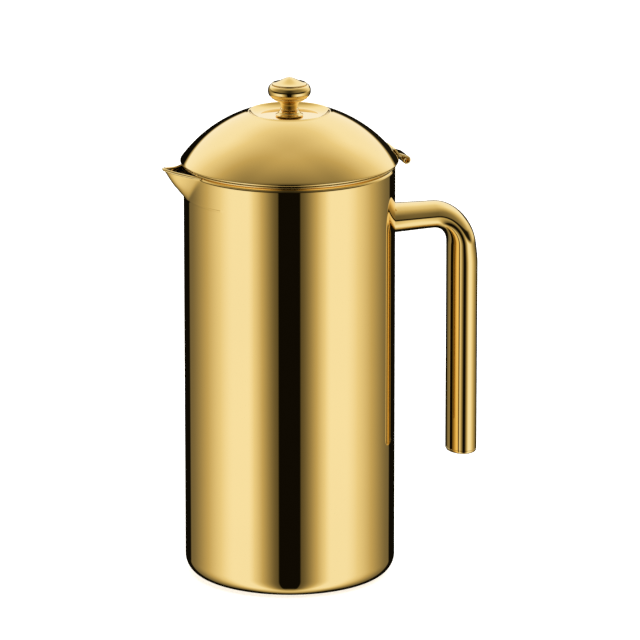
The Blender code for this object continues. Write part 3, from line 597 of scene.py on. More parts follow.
def beak_half_width(pot, t, share):
    """Half width of the spout's outline, from t = 0 at the wall to t = 1 at the tip."""
    straight_part = 0.60
    taper = straight_part * share * (1.0 - t) ** 2
    nose = (1.0 - straight_part) * sqrt(share * max(0.0, 1.0 - t * t))
    return pot.spout_half_width * (taper + nose)


def beak_reach(pot):
    """How far the sheet of the spout's tip stands beyond the wall."""
    return -SPOUT_LOW.x - pot.radius - 0.25 * MM


def beak_rise():
    """How far the spout's tip stands above the rim."""
    return SPOUT_HIGH.z + 0.5 * MM - LINER_HIGH.z


def beak_point(pot, t, share=1.0):
    """A point of the spout's outline, drawn in towards the foot of the ridge by the share."""
    wall = sqrt(pot.radius ** 2 - pot.spout_half_width ** 2)
    x = wall + (pot.radius + beak_reach(pot) - wall) * t
    return pot.radius + share * (x - pot.radius), beak_half_width(pot, t, share)


def beak_radius(pot, angle, height):
    """Distance from the axis to the spout's surface, by the angle from -X and the height."""
    foot = LINER_HIGH.z - pot.spout_depth
    share = min(1.0, (height - foot) / (LINER_HIGH.z - foot))
    if share <= 0.02:
        return 0.0
    low, high = -0.5, 1.0
    for _ in range(26):
        t = (low + high) / 2.0
        x, y = beak_point(pot, t, share)
        if atan2(y, x) > abs(angle):
            low = t
        else:
            high = t
    return hypot(*beak_point(pot, (low + high) / 2.0, share))


def fade(value, low, high):
    """A smooth change from 0 to 1 as the value goes from low to high."""
    share = min(1.0, max(0.0, (value - low) / (high - low)))
    return share * share * (3.0 - 2.0 * share)


def press_spout(pot, shape):
    """Press the spout out of a turned wall, whose points keep their share of its thickness."""
    foot = LINER_HIGH.z - pot.spout_depth - 1.0 * MM
    blend = 1.3 * MM
    for point in shape.verts:
        angle = atan2(point.co.y, -point.co.x)
        if abs(angle) > SPOUT_SECTOR or point.co.z < foot:
            continue
        radius = hypot(point.co.x, point.co.y)
        if radius < pot.inside - MM:
            continue
        beak = beak_radius(pot, angle, point.co.z)
        over = beak - pot.radius
        near = max(0.0, blend - abs(over)) / blend
        outer = pot.radius + max(0.0, over) + near ** 3 * blend / 6.0
        mask = fade(over, -1.2 * MM, 1.4 * MM)
        inner = pot.inside + max(0.0, beak - LIP_SHEET - pot.inside) * mask
        share = min(1.0, max(0.0, (radius - pot.inside) / (pot.radius - pot.inside)))
        target = inner + (outer - inner) * share
        rise = beak_rise() * (max(0.0, over) / beak_reach(pot)) ** 2
        point.co.x *= target / radius
        point.co.y *= target / radius
        point.co.z += rise * fade(point.co.z, LINER_HIGH.z - 8.0 * MM, LINER_HIGH.z - MM)


def spin_with_spout(shape, profile):
    """Turn a profile with close steps where the spout is and wide steps elsewhere."""
    spin(shape, profile, 260, closed=False, first=pi - SPOUT_SECTOR, angle=2.0 * SPOUT_SECTOR)
    spin(shape, profile, 200, closed=False, first=pi + SPOUT_SECTOR,
         angle=2.0 * (pi - SPOUT_SECTOR))
    bmesh.ops.remove_doubles(shape, verts=shape.verts, dist=5.0 * MERGE)


class PRESS_OT_pot_shell(Operator):
    """Build the polished outer wall with its rolled rim and pressed spout"""

    bl_idname = "press.pot_shell"
    bl_label = "Pot Shell"

    def execute(self, context):
        pot = context.scene.press_pot
        top = LINER_HIGH.z
        corner = pot.radius - pot.bottom_round
        roll = pot.rim_round
        inner_round = MM
        wall_top = top - roll
        spout_foot = top - pot.spout_depth - MM
        profile = [(38.0 * MM, 0.0), (38.4 * MM, 0.0), (corner - 0.3 * MM, 0.0)]
        profile += arc(corner, pot.bottom_round, pot.bottom_round, pi, pi / 2.0, 20)
        profile += [(pot.radius, pot.bottom_round + 0.4 * MM)]
        profile += spread(profile[-1], (pot.radius, spout_foot), 6)
        profile += [(pot.radius, spout_foot)]
        profile += spread((pot.radius, spout_foot), (pot.radius, wall_top), 34)
        profile += arc(pot.radius - roll, wall_top, roll, pi / 2.0, 0.0, 12)
        profile += [(pot.radius - roll - 0.2 * MM, top)]
        profile += arc(pot.inside + inner_round, top - inner_round, inner_round, 0.0, -pi / 2.0, 6)
        profile += [(pot.inside, top - inner_round - 0.4 * MM), (pot.inside, wall_top)]
        shape = bmesh.new()
        spin_with_spout(shape, profile)
        press_spout(pot, shape)
        gold = gold_material(context.scene.press_finish)
        obj = add_piece("polished_shell", shape, "pot", GOLD, gold, "outer_shell", "pouring_spout",
                        sharp=radians(60.0))
        thicken(obj, pot.sheet)
        return {"FINISHED"}


class PRESS_OT_spout_lip(Operator):
    """Build the rolled bead along the edge of the spout"""

    bl_idname = "press.spout_lip"
    bl_label = "Spout Lip"

    def execute(self, context):
        pot = context.scene.press_pot
        proud = 0.25 * MM
        rise = beak_rise()
        steps = 44
        path = []
        for i in range(-steps, steps + 1):
            t = sin(pi / 2.0 * (1.0 - abs(i) / steps))
            x, y = beak_point(pot, t)
            side = 1.0 if i >= 0 else -1.0
            size = pot.spout_bead * (0.7 + 0.3 * fade(t, 0.0, 0.3))
            height = LINER_HIGH.z + rise * t * t - size + 0.2 * MM * fade(t, 0.0, 0.1)
            path.append((Vector((-x, side * y, height)), size))
        stations = []
        for i, (point, size) in enumerate(path):
            before = path[max(i - 1, 0)][0]
            after = path[min(i + 1, len(path) - 1)][0]
            along = (after - before).normalized()
            outward = along.cross(Vector((0.0, 0.0, 1.0))).normalized()
            if outward.dot(Vector((point.x, point.y, 0.0))) < 0.0:
                outward.negate()
            turn = Matrix((outward, along.cross(outward), along)).transposed().to_4x4()
            place = Matrix.Translation(point - outward * (size - proud * size / pot.spout_bead))
            stations.append(place @ turn @ Matrix.Diagonal((size, size, 1.0, 1.0)))
        shape = bmesh.new()
        sweep(shape, ellipse_outline(1.0, 1.0, 14), stations)
        gold = gold_material(context.scene.press_finish)
        add_piece("spout_lip", shape, "pot", GOLD, gold)
        return {"FINISHED"}


class PRESS_OT_inner_pot(Operator):
    """Build the brushed inner pot and the throat of the spout"""

    bl_idname = "press.inner_pot"
    bl_label = "Inner Pot"

    def execute(self, context):
        pot = context.scene.press_pot
        top = LINER_HIGH.z - pot.rim_round - 0.2 * MM
        floor = LINER_LOW.z + 0.8 * MM
        fillet = 7.0 * MM
        spout_foot = LINER_HIGH.z - pot.spout_depth - MM
        profile = [(0.0, floor), (2.0 * MM, floor)]
        profile += spread((2.0 * MM, floor), (pot.inside - fillet, floor), 5)
        profile += arc(pot.inside - fillet, floor + fillet, fillet, pi, pi / 2.0, 12)
        profile += [(pot.inside, floor + fillet + 0.4 * MM)]
        profile += spread(profile[-1], (pot.inside, spout_foot), 6)
        profile += [(pot.inside, spout_foot)]
        profile += spread((pot.inside, spout_foot), (pot.inside, top), 30) + [(pot.inside, top)]
        shape = bmesh.new()
        spin_with_spout(shape, profile)
        press_spout(pot, shape)
        steel = steel_material(context.scene.press_finish)
        obj = add_piece("inner_pot", shape, "pot", STEEL, steel, "liner", sharp=radians(60.0))
        wall = obj.modifiers.new("sheet", "SOLIDIFY")
        wall.thickness = 0.5 * MM
        wall.offset = 1.0
        return {"FINISHED"}


class PRESS_OT_base_disc(Operator):
    """Build the disc that closes the bottom"""

    bl_idname = "press.base_disc"
    bl_label = "Base Disc"

    def execute(self, context):
        low, high = BASE_LOW, BASE_HIGH
        outer = 37.7 * MM
        profile = [(0.0, 0.5 * MM), (outer - 3.0 * MM, 0.5 * MM), (outer - 2.0 * MM, low.z),
                   (outer, low.z), (outer, 1.1 * MM), (high.x, 1.1 * MM), (high.x, high.z),
                   (0.0, high.z)]
        gold = gold_material(context.scene.press_finish)
        spun_piece("base_disc", profile, "pot", GOLD, gold, "base_plate", closed=False,
                   soft=0.3 * MM)
        return {"FINISHED"}


class PRESS_OT_grip(Operator):
    """Build the handle tube with its bend, and the cap at its foot"""

    bl_idname = "press.grip"
    bl_label = "Grip"

    def execute(self, context):
        pot = context.scene.press_pot
        depth = CAP_HIGH.x - CAP_LOW.x
        width = CAP_HIGH.y - CAP_LOW.y
        grip_x = (CAP_HIGH.x + CAP_LOW.x) / 2.0
        rise = radians(1.0)
        arm_height = LINER_HIGH.z - pot.handle_drop
        bend = pot.handle_bend
        root_scale = 0.95
        arm_scale = 0.885
        pinch = 0.10
        turn = pi / 2.0 + rise
        tangent = bend * tan(turn / 2.0)
        centre_x = grip_x - bend
        centre_z = arm_height + (grip_x - pot.radius) * tan(rise) - tangent
        arm_end = grip_x - tangent * cos(rise)
        stations = []
        arm_steps = 8
        start_x = pot.radius + MM
        root = pot.radius - 0.5 * MM
        for i in range(-1, arm_steps):
            x = start_x + (arm_end - start_x) * i / arm_steps if i >= 0 else root
            scale = root_scale + (arm_scale - root_scale) * fade(x, pot.radius, arm_end)
            point = (x, 0.0, arm_height + (x - pot.radius) * tan(rise))
            stations.append(station(point, rise, scale, scale))
        bend_steps = 40
        after_bend = 10.0 * MM
        foot_steps = 5

        def flattening(run):
            """Share by which bending has pinched the tube, by the run from the bend's start."""
            return pinch * sin(pi * run / (bend * turn + after_bend)) ** 2

        for i in range(bend_steps + 1):
            angle = -rise + turn * i / bend_steps
            scale = arm_scale + (1.0 - arm_scale) * fade(i, 0, bend_steps)
            squeeze = flattening(bend * turn * i / bend_steps)
            inward = bend - squeeze * depth / 2.0
            point = (centre_x + inward * sin(angle), 0.0, centre_z + inward * cos(angle))
            stations.append(station(point, -angle, scale, scale - squeeze))
        for i in range(1, foot_steps + 1):
            drop = after_bend * i / foot_steps
            squeeze = flattening(bend * turn + drop)
            point = (grip_x - squeeze * depth / 2.0, 0.0, centre_z - drop)
            stations.append(station(point, -pi / 2.0, 1.0, 1.0 - squeeze))
        for i in range(1, foot_steps + 1):
            top = centre_z - after_bend
            z = top + (TUBE_LOW.z - top) * i / foot_steps
            stations.append(station((grip_x, 0.0, z), -pi / 2.0))
        stations.insert(-1, station((grip_x, 0.0, TUBE_LOW.z + 0.3 * MM), -pi / 2.0))
        shape = bmesh.new()
        sweep(shape, ellipse_outline(width / 2.0, depth / 2.0, 64), stations, capped=False)
        for point in shape.verts:
            if point.co.x < pot.radius:
                point.co.x = sqrt(pot.radius ** 2 - point.co.y ** 2)
        gold = gold_material(context.scene.press_finish)
        tube = add_piece("grip_tube", shape, "pot", GOLD, gold, "handle_tube", sharp=radians(60.0))
        thicken(tube, MM)

        outer = depth / 2.0
        top = TUBE_LOW.z - 0.08 * MM
        bottom = CAP_LOW.z
        round_edge = 1.3 * MM
        profile = [(0.0, top + 4.0 * MM), (outer - 1.5 * MM, top + 4.0 * MM),
                   (outer - 1.5 * MM, top), (outer - 0.12 * MM, top), (outer, top - 0.12 * MM)]
        profile += arc(outer - round_edge, bottom + round_edge, round_edge, pi / 2.0, pi, 10)
        profile += [(outer - round_edge - 0.3 * MM, bottom), (0.0, bottom)]
        shape = bmesh.new()
        spin(shape, profile, 96, closed=False)
        bmesh.ops.scale(shape, vec=(1.0, width / depth, 1.0), verts=shape.verts)
        bmesh.ops.translate(shape, vec=(grip_x, 0.0, 0.0), verts=shape.verts)
        add_piece("grip_cap", shape, "pot", GOLD, gold, "handle_end_cap")
        return {"FINISHED"}


# ---------------------------------------------------------------- the lid

def dome_shape(lid):
    """Centre height of the dome's sphere, and the radius and height of its rolled edge."""
    roll = 0.7 * MM
    edge_radius = DOME_HIGH.x - roll
    edge_height = DOME_LOW.z + roll
    angle = asin(edge_radius / (lid.dome_radius - roll))
    centre = edge_height - (lid.dome_radius - roll) * cos(angle)
    return centre, edge_radius, edge_height, angle, roll


class PRESS_OT_dome(Operator):
    """Build the domed cover with its dish, and the pan that closes it from below"""

    bl_idname = "press.dome"
    bl_label = "Dome"

    def execute(self, context):
        lid = context.scene.press_lid
        centre, edge_radius, edge_height, edge_angle, roll = dome_shape(lid)
        sheet = 0.8 * MM
        hole = 4.8 * MM
        rim_soft = 0.6 * MM
        slope = radians(50.0)
        dish_start = asin(lid.dish_radius / lid.dome_radius)
        rim_height = centre + lid.dome_radius * cos(dish_start)
        floor = rim_height - lid.dish_depth
        cup = lid.dish_depth / (1.0 - cos(slope))
        flat = lid.dish_radius - rim_soft - cup * sin(slope)
        dish = [(hole, floor)] + spread((hole, floor), (flat, floor), 3)
        dish += arc(flat, floor + cup, cup, pi, pi - slope, 10)
        crest_centre = (dish[-1][0] + rim_soft * sin(slope), dish[-1][1] - rim_soft * cos(slope))
        profile = dish + arc(*crest_centre, rim_soft, -slope, dish_start, 8)[1:]
        profile += arc(0.0, centre, lid.dome_radius, dish_start + radians(0.4), edge_angle, 44)
        profile += arc(edge_radius, edge_height, roll, edge_angle, pi, 10)[1:]
        inner = lid.dome_radius - sheet
        profile += arc(0.0, centre, inner, asin((edge_radius - 0.1 * MM) / inner), dish_start, 30)
        profile += [(radius, height - sheet) for radius, height in reversed(dish)]
        gold = gold_material(context.scene.press_finish)
        spun_piece("dome_cover", profile, "lid", GOLD, gold, "lid_dome", steps=240)

        edge = PAN_HIGH.x
        profile = [(hole, PAN_HIGH.z), (edge, PAN_HIGH.z), (edge, PAN_LOW.z), (hole, PAN_LOW.z)]
        spun_piece("dome_pan", profile, "lid", GOLD, gold, "lid_pan", steps=240, soft=0.3 * MM)
        return {"FINISHED"}


class PRESS_OT_collar(Operator):
    """Build the slotted collar that drops into the mouth of the pot"""

    bl_idname = "press.collar"
    bl_label = "Collar"

    def execute(self, context):
        slots = context.scene.press_lid.slots
        columns = 450
        outer = COLLAR_HIGH.x
        sheet = 0.8 * MM
        bend = 1.2 * MM
        bottom = COLLAR_LOW.z
        slot_low = bottom + 4.1 * MM
        slot_high = slot_low + 8.0 * MM
        slot_end = 0.6 * MM
        spacing = radians(8.0)
        slot_half_angle = radians(1.25)
        end_half_angle = radians(0.45)
        profile = [(outer - 6.8 * MM, COLLAR_HIGH.z)]
        profile += arc(outer - bend, COLLAR_HIGH.z - bend, bend, 0.0, pi / 2.0, 5)
        profile += [(outer, slot_high + 0.9 * MM), (outer, slot_high), (outer, slot_high - slot_end),
                    (outer, slot_low + slot_end), (outer, slot_low), (outer, slot_low - 0.9 * MM),
                    (outer, bottom + 0.3 * MM), (outer - 0.1 * MM, bottom)]
        shape = bmesh.new()
        spin(shape, profile, columns, closed=False, first=pi / columns)
        weld(shape)
        cut = []
        for face in shape.faces:
            middle = face.calc_center_median()
            if not slot_low < middle.z < slot_high:
                continue
            angle = atan2(middle.y, abs(middle.x))
            from_slot = min(abs(angle - spacing * (i - (slots - 1) / 2.0)) for i in range(slots))
            at_end = min(middle.z - slot_low, slot_high - middle.z) < slot_end
            if from_slot < (end_half_angle if at_end else slot_half_angle):
                cut.append(face)
        bmesh.ops.delete(shape, geom=cut, context="FACES")
        steel = steel_material(context.scene.press_finish)
        obj = add_piece("strainer_collar", shape, "lid", STEEL, steel, "lid_collar",
                        sharp=radians(50.0))
        thicken(obj, sheet)
        return {"FINISHED"}


class PRESS_OT_thumb_rest(Operator):
    """Build the strap above the handle with its curled end"""

    bl_idname = "press.thumb_rest"
    bl_label = "Thumb Rest"

    def execute(self, context):
        lid = context.scene.press_lid
        centre, edge_radius, edge_height, _, roll = dome_shape(lid)
        sheet = 0.9 * MM
        width = TAB_HIGH.y - TAB_LOW.y
        outer_turn = 1.65 * MM
        inner_turn = 0.95 * MM
        surface = lid.dome_radius + sheet / 2.0 + 0.05 * MM
        curl_out = 4.3 * MM
        curl_drop = 2.6 * MM
        curl_turn = radians(330.0)
        tightens_from = 0.3
        foot_lift = radians(13.5)
        foot_span = radians(3.0)
        curl_x = edge_radius + roll + curl_out
        curl_z = edge_height - curl_drop
        reach = hypot(curl_x, curl_z - centre)
        tangent = atan2(curl_x, curl_z - centre) - acos((surface - outer_turn) / reach)
        foot_end = tangent + foot_lift
        path = arc(0.0, centre, surface, foot_end - foot_span, foot_end, 4)
        run_x = curl_x - path[-1][0]
        run_z = curl_z - path[-1][1]
        heading = atan2(run_z, run_x) + asin(outer_turn / hypot(run_x, run_z))
        start = pi / 2.0 + heading
        first = (curl_x + outer_turn * cos(start), curl_z + outer_turn * sin(start))
        path += spread(path[-1], first, 5)
        steps = 44
        for i in range(steps + 1):
            share = i / steps
            tightened = max(0.0, share - tightens_from) / (1.0 - tightens_from)
            radius = outer_turn + (inner_turn - outer_turn) * tightened
            angle = start - curl_turn * share
            path.append((curl_x + radius * cos(angle), curl_z + radius * sin(angle)))
        shape = bmesh.new()
        sweep(shape, rounded_outline(width, sheet, 0.4 * sheet), path_stations(path))
        gold = gold_material(context.scene.press_finish)
        add_piece("thumb_rest", shape, "lid", GOLD, gold, "thumb_tab")
        return {"FINISHED"}


class PRESS_OT_rod_guide(Operator):
    """Build the ferrule that the rod slides in, and its nut under the lid"""

    bl_idname = "press.rod_guide"
    bl_label = "Rod Guide"

    def execute(self, context):
        foot = FERRULE_HIGH.x
        top = FERRULE_HIGH.z
        bottom = top - 2.3 * MM
        bore = 2.8 * MM
        tube = 4.5 * MM
        profile = [(bore, top), (4.3 * MM, top)]
        profile += arc(foot + 0.4 * MM, top + 0.1 * MM, 1.9 * MM, -0.62 * pi, -0.92 * pi, 7)
        profile += [(foot, bottom + 0.45 * MM), (foot, bottom), (tube, bottom),
                    (tube, FERRULE_LOW.z), (bore, FERRULE_LOW.z)]
        finishes = context.scene.press_finish
        spun_piece("rod_ferrule", profile, "guide", GOLD, gold_material(finishes), "guide_ferrule",
                   steps=96, soft=0.2 * MM)
        nut_piece("ferrule_nut", "guide_nut", 4.8 * MM, "guide", bright_steel_material(finishes))
        return {"FINISHED"}


# ---------------------------------------------------------------- the plunger

class PRESS_OT_knob(Operator):
    """Build the turned knob"""

    bl_idname = "press.knob"
    bl_label = "Knob"

    def execute(self, context):
        bulge_radius = context.scene.press_lid.knob_bulge
        ring = 0.7 * MM
        ring_radius = 8.3 * MM
        low_ring_radius = 8.45 * MM
        finial_radius = 7.8 * MM
        finial_height = 2.9 * MM
        bulge_height = 5.8 * MM
        neck_height = 4.0 * MM
        neck_radius = 3.85 * MM
        neck_top_radius = 7.0 * MM
        foot = KNOB_LOW.z + 0.9 * MM
        neck_top = foot + neck_height
        low_ring = neck_top + 0.8 * MM
        bulge = low_ring + ring
        top_ring = bulge + bulge_height
        finial = top_ring + ring
        profile = []
        steps = 26
        for i in range(steps + 1):
            share = i / steps
            bell = (1.0 + cos(pi * share)) / 2.0
            crown = 0.4 * (1 - share) + 0.6 * bell
            profile.append((finial_radius * share, finial + finial_height * crown))
        profile += arc(ring_radius - ring / 2.0, top_ring + ring / 2.0, ring / 2.0, 0.15 * pi, pi, 8)
        half = bulge_height / 2.0
        steps = 26
        for i in range(1, steps):
            angle = pi * i / steps
            profile.append((ring_radius + (bulge_radius - ring_radius) * sin(angle),
                            bulge + half + half * cos(angle)))
        profile += arc(low_ring_radius - ring / 2.0, low_ring + ring / 2.0, ring / 2.0, 0.15 * pi, pi, 8)
        flare = neck_top_radius - neck_radius
        profile += [(neck_top_radius + 0.5 * MM, low_ring - 0.15 * MM),
                    (neck_top_radius + 0.1 * MM, neck_top + 0.1 * MM)]
        steps = 18
        for i in range(steps + 1):
            angle = pi / 2.0 * (1.0 - i / steps)
            profile.append((neck_top_radius - flare * cos(angle), foot + neck_height * sin(angle)))
        profile += arc(neck_radius, KNOB_LOW.z + 0.45 * MM, 0.45 * MM, 0.2 * pi, pi, 7)
        hole = ROD_HOLE
        profile += [(hole + 0.2 * MM, KNOB_LOW.z), (hole, KNOB_LOW.z + 0.2 * MM),
                    (hole, KNOB_LOW.z + 7.0 * MM), (0.0, KNOB_LOW.z + 7.0 * MM)]
        gold = gold_material(context.scene.press_finish)
        spun_piece("turned_knob", profile, "plunger", GOLD, gold, "knob", steps=144, closed=False)
        return {"FINISHED"}


class PRESS_OT_shaft(Operator):
    """Build the rod with its threaded ends and the two nuts that clamp the filter"""

    bl_idname = "press.shaft"
    bl_label = "Shaft"

    def execute(self, context):
        radius = ROD_HIGH.x
        core = 1.7 * MM
        shoulder_top = KNOB_LOW.z - 0.3 * MM
        shoulder_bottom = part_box("rod_lock_nut")[1].z + 0.3 * MM
        top, bottom = ROD_HIGH.z, ROD_LOW.z
        soft = 0.25 * MM
        profile = [(0.0, top), (core - soft, top), (core, top - soft), (core, shoulder_top),
                   (radius - soft, shoulder_top), (radius, shoulder_top - soft),
                   (radius, shoulder_bottom + soft), (radius - soft, shoulder_bottom),
                   (core, shoulder_bottom), (core, bottom + soft), (core - soft, bottom),
                   (0.0, bottom)]
        finishes = context.scene.press_finish
        steel = bright_steel_material(finishes)
        spun_piece("plunger_shaft", profile, "plunger", STEEL, steel, "plunger_rod", steps=64,
                   closed=False)
        shape = bmesh.new()
        pitch = 0.7 * MM
        crest = 0.32 * MM
        steps_a_turn = 24
        ridge = [(-0.3 * MM, -0.1 * MM), (0.3 * MM, -0.1 * MM), (0.05 * MM, crest), (-0.05 * MM, crest)]
        for start, end in ((bottom + 0.4 * MM, shoulder_bottom), (shoulder_top, top - 0.6 * MM)):
            turns = (end - start - 0.5 * pitch) / pitch
            steps = int(steps_a_turn * turns)
            stations = []
            for i in range(steps + 1):
                angle = 2.0 * pi * i / steps_a_turn
                outward = Vector((cos(angle), sin(angle), 0.0))
                along = Vector((-sin(angle), cos(angle), 0.0))
                turn = Matrix((along.cross(outward), outward, along)).transposed().to_4x4()
                height = start + 0.3 * pitch + pitch * i / steps_a_turn
                place = Matrix.Translation(outward * core + Vector((0.0, 0.0, height)))
                stations.append(place @ turn)
            sweep(shape, ridge, stations)
        add_piece("shaft_threads", shape, "plunger", STEEL, steel)
        nut_piece("clamp_nut", "rod_lock_nut", NUT_HOLE, "plunger", steel)
        nut_piece("hub_nut", "filter_hub_nut", NUT_HOLE, "plunger", steel)
        return {"FINISHED"}


class PRESS_OT_holed_plate(Operator):
    """Build the holed plate above the filter cloth"""

    bl_idname = "press.holed_plate"
    bl_label = "Holed Plate"

    def execute(self, context):
        steel = steel_material(context.scene.press_finish)
        outer = PLATE_HIGH.x
        sheet = 0.8 * MM
        bend = 1.0 * MM
        outlines = [ring_points(outer - bend - sheet, 120), ring_points(ROD_HOLE, 32)]
        for ring_radius, count in ((15.0 * MM, 6), (29.0 * MM, 12)):
            for x, y in ring_points(ring_radius, count, pi / count):
                outlines.append([(x + a, y + b) for a, b in ring_points(3.0 * MM, 28)])
        plate_piece("holed_plate", outlines, PLATE_LOW.z, PLATE_LOW.z + sheet, 0.12 * MM,
                    "plunger", STEEL, steel, "filter_top_plate")
        low = PLATE_LOW.z
        profile = [(outer - bend - sheet - 0.1 * MM, low)]
        profile += arc(outer - bend, low + bend, bend, pi, pi / 2.0, 6)
        profile += [(outer, PLATE_HIGH.z), (outer - sheet, PLATE_HIGH.z)]
        profile += arc(outer - bend, low + bend, bend - sheet, pi / 2.0, pi, 3)
        profile += [(outer - bend - sheet - 0.1 * MM, low + sheet)]
        spun_piece("plate_rim", profile, "plunger", STEEL, steel, steps=240)
        return {"FINISHED"}


class PRESS_OT_edge_spring(Operator):
    """Build the fine coil spring that runs round the edge of the filter"""

    bl_idname = "press.edge_spring"
    bl_label = "Edge Spring"

    def execute(self, context):
        settings = context.scene.press_filter
        coil = (SPRING_HIGH.z - SPRING_LOW.z) / 2.0 - settings.wire
        ring = SPRING_HIGH.x - (SPRING_HIGH.z - SPRING_LOW.z) / 2.0
        middle = (SPRING_HIGH.z + SPRING_LOW.z) / 2.0
        step = 2.0 * pi / settings.coils
        sides = 10
        stations = []
        for i in range(sides + 1):
            turn = 2.0 * pi * i / sides
            place = Matrix.Rotation(step * i / sides, 4, "Z")
            place @= Matrix.Translation((ring + coil * cos(turn), 0.0, middle + coil * sin(turn)))
            tilt = atan2(ring * step / (2.0 * pi), coil)
            frame_turn = Matrix.Rotation(-turn, 4, "Y") @ Matrix.Rotation(-tilt, 4, "X")
            stations.append(place @ frame_turn)
        shape = bmesh.new()
        sweep(shape, ellipse_outline(settings.wire, settings.wire, 5), stations, capped=False)
        bmesh.ops.spin(shape, geom=whole(shape), cent=(0.0, 0.0, 0.0), axis=(0.0, 0.0, 1.0),
                       dvec=(0.0, 0.0, 0.0), angle=2.0 * pi - step, steps=settings.coils - 1,
                       use_duplicate=True)
        bmesh.ops.remove_doubles(shape, verts=shape.verts, dist=0.02 * MM)
        steel = bright_steel_material(context.scene.press_finish)
        add_piece("edge_spring", shape, "plunger", STEEL, steel, "filter_spring",
                  sharp=radians(80.0))
        return {"FINISHED"}


class PRESS_OT_filter_cloth(Operator):
    """Build the woven wire cloth and the hem that stands round its edge"""

    bl_idname = "press.filter_cloth"
    bl_label = "Filter Cloth"

    def execute(self, context):
        pitch = context.scene.press_filter.weave_pitch
        wire = 0.1 * MM
        middle = MESH_LOW.z + 0.2 * MM
        hem_round = 1.2 * MM
        cloth_radius = MESH_HIGH.x - hem_round
        shape = bmesh.new()
        for row in range(2):
            for turn, side in ((0.0, 1.0), (pi / 2.0, -1.0)):
                lift = side * (1.0 if row == 0 else -1.0) * wire
                stations = []
                for i, height in enumerate((lift, -lift, lift)):
                    place = Matrix.Rotation(turn, 4, "Z")
                    place @= Matrix.Translation((i * pitch, side * row * pitch, height))
                    stations.append(place @ Matrix.Rotation(pi / 2.0, 4, "Y"))
                sweep(shape, ellipse_outline(wire, wire, 4), stations, capped=False)
        tile = 2.0 * pitch
        doublings = 6
        for axis in range(2):
            for level in range(doublings):
                step = Vector((0.0, 0.0, 0.0))
                step[axis] = tile * 2 ** level
                copy = bmesh.ops.duplicate(shape, geom=whole(shape))
                points = [part for part in copy["geom"] if isinstance(part, bmesh.types.BMVert)]
                bmesh.ops.translate(shape, verts=points, vec=step)
        half = tile * 2 ** doublings / 2.0
        bmesh.ops.translate(shape, verts=shape.verts, vec=(-half, -half, middle))
        outside = [face for face in shape.faces
                   if not 3.0 * MM < face.calc_center_median().xy.length < cloth_radius]
        bmesh.ops.delete(shape, geom=outside, context="FACES")
        bmesh.ops.remove_doubles(shape, verts=shape.verts, dist=0.01 * MM)
        finishes = context.scene.press_finish
        add_piece("woven_cloth", shape, "plunger", MESH_STEEL, bright_steel_material(finishes),
                  "filter_mesh", sharp=radians(80.0), welded=False)

        outer = MESH_HIGH.x
        hem_sheet = 0.35 * MM
        profile = [(outer, MESH_HIGH.z - 0.1 * MM), (outer, MESH_LOW.z + hem_round + 0.3 * MM)]
        profile += arc(outer - hem_round, MESH_LOW.z + hem_round, hem_round, pi / 2.0, pi, 8)
        profile += [(outer - hem_round - 1.2 * MM, MESH_LOW.z),
                    (outer - hem_round - 1.2 * MM, MESH_LOW.z + hem_sheet)]
        profile += arc(outer - hem_round, MESH_LOW.z + hem_round, hem_round - hem_sheet, pi,
                       pi / 2.0, 8)
        profile += [(outer - hem_sheet, MESH_HIGH.z - 0.1 * MM), (outer - 0.18 * MM, MESH_HIGH.z)]
        spun_piece("filter_hem", profile, "plunger", MESH_STEEL, cloth_material(finishes), steps=240)
        return {"FINISHED"}


class PRESS_OT_spoked_plate(Operator):
    """Build the spoked plate that carries the filter cloth"""

    bl_idname = "press.spoked_plate"
    bl_label = "Spoked Plate"

    def execute(self, context):
        outer = CROSS_HIGH.x
        spokes = 4
        half = 2.5 * MM
        window_outer = outer - 3.0 * MM
        hub = 7.0 * MM
        outlines = [ring_points(outer, 160), ring_points(ROD_HOLE, 32)]
        for number in range(spokes):
            points = []
            start = 2.0 * pi * number / spokes
            end = start + 2.0 * pi / spokes
            for radius, count, backwards in ((window_outer, 30, False), (hub, 10, True)):
                low = start + asin(half / radius)
                high = end - asin(half / radius)
                row = [low + (high - low) * i / count for i in range(count + 1)]
                if backwards:
                    row.reverse()
                points += [(radius * cos(angle), radius * sin(angle)) for angle in row]
            outlines.append(softened(points, 1.2 * MM))
        plate_piece("spoked_plate", outlines, CROSS_LOW.z, CROSS_HIGH.z, 0.15 * MM, "plunger",
                    STEEL, steel_material(context.scene.press_finish), "filter_cross_plate")
        return {"FINISHED"}


# ---------------------------------------------------------------- the stage

def tone_ramp(tree, value, stops):
    """A colour ramp through (level, colour) stops, straight between them."""
    node = tree.nodes.new("ShaderNodeValToRGB")
    node.color_ramp.interpolation = "LINEAR"
    elements = node.color_ramp.elements
    while len(elements) < len(stops):
        elements.new(0.5)
    for element, (position, colour) in zip(elements, stops):
        element.position = position
        element.color = (*colour, 1.0)
    tree.links.new(value, node.inputs["Fac"])
    return node.outputs["Color"]


def soft_steps(tree, angle, base, *steps):
    """A level that goes from base through smooth steps, each (first angle, last angle, change)."""
    level = base
    for first, last, change in steps:
        level = math_node(tree, "ADD", smooth_step(tree, angle, first, last, 0.0, change), level)
    return level


def blend_values(tree, share, first, second):
    """A mix of two values by a share."""
    node = tree.nodes.new("ShaderNodeMix")
    tree.links.new(share, node.inputs["Factor"])
    for slot, value in ((2, first), (3, second)):
        if isinstance(value, float):
            node.inputs[slot].default_value = value
        else:
            tree.links.new(value, node.inputs[slot])
    return node.outputs[0]


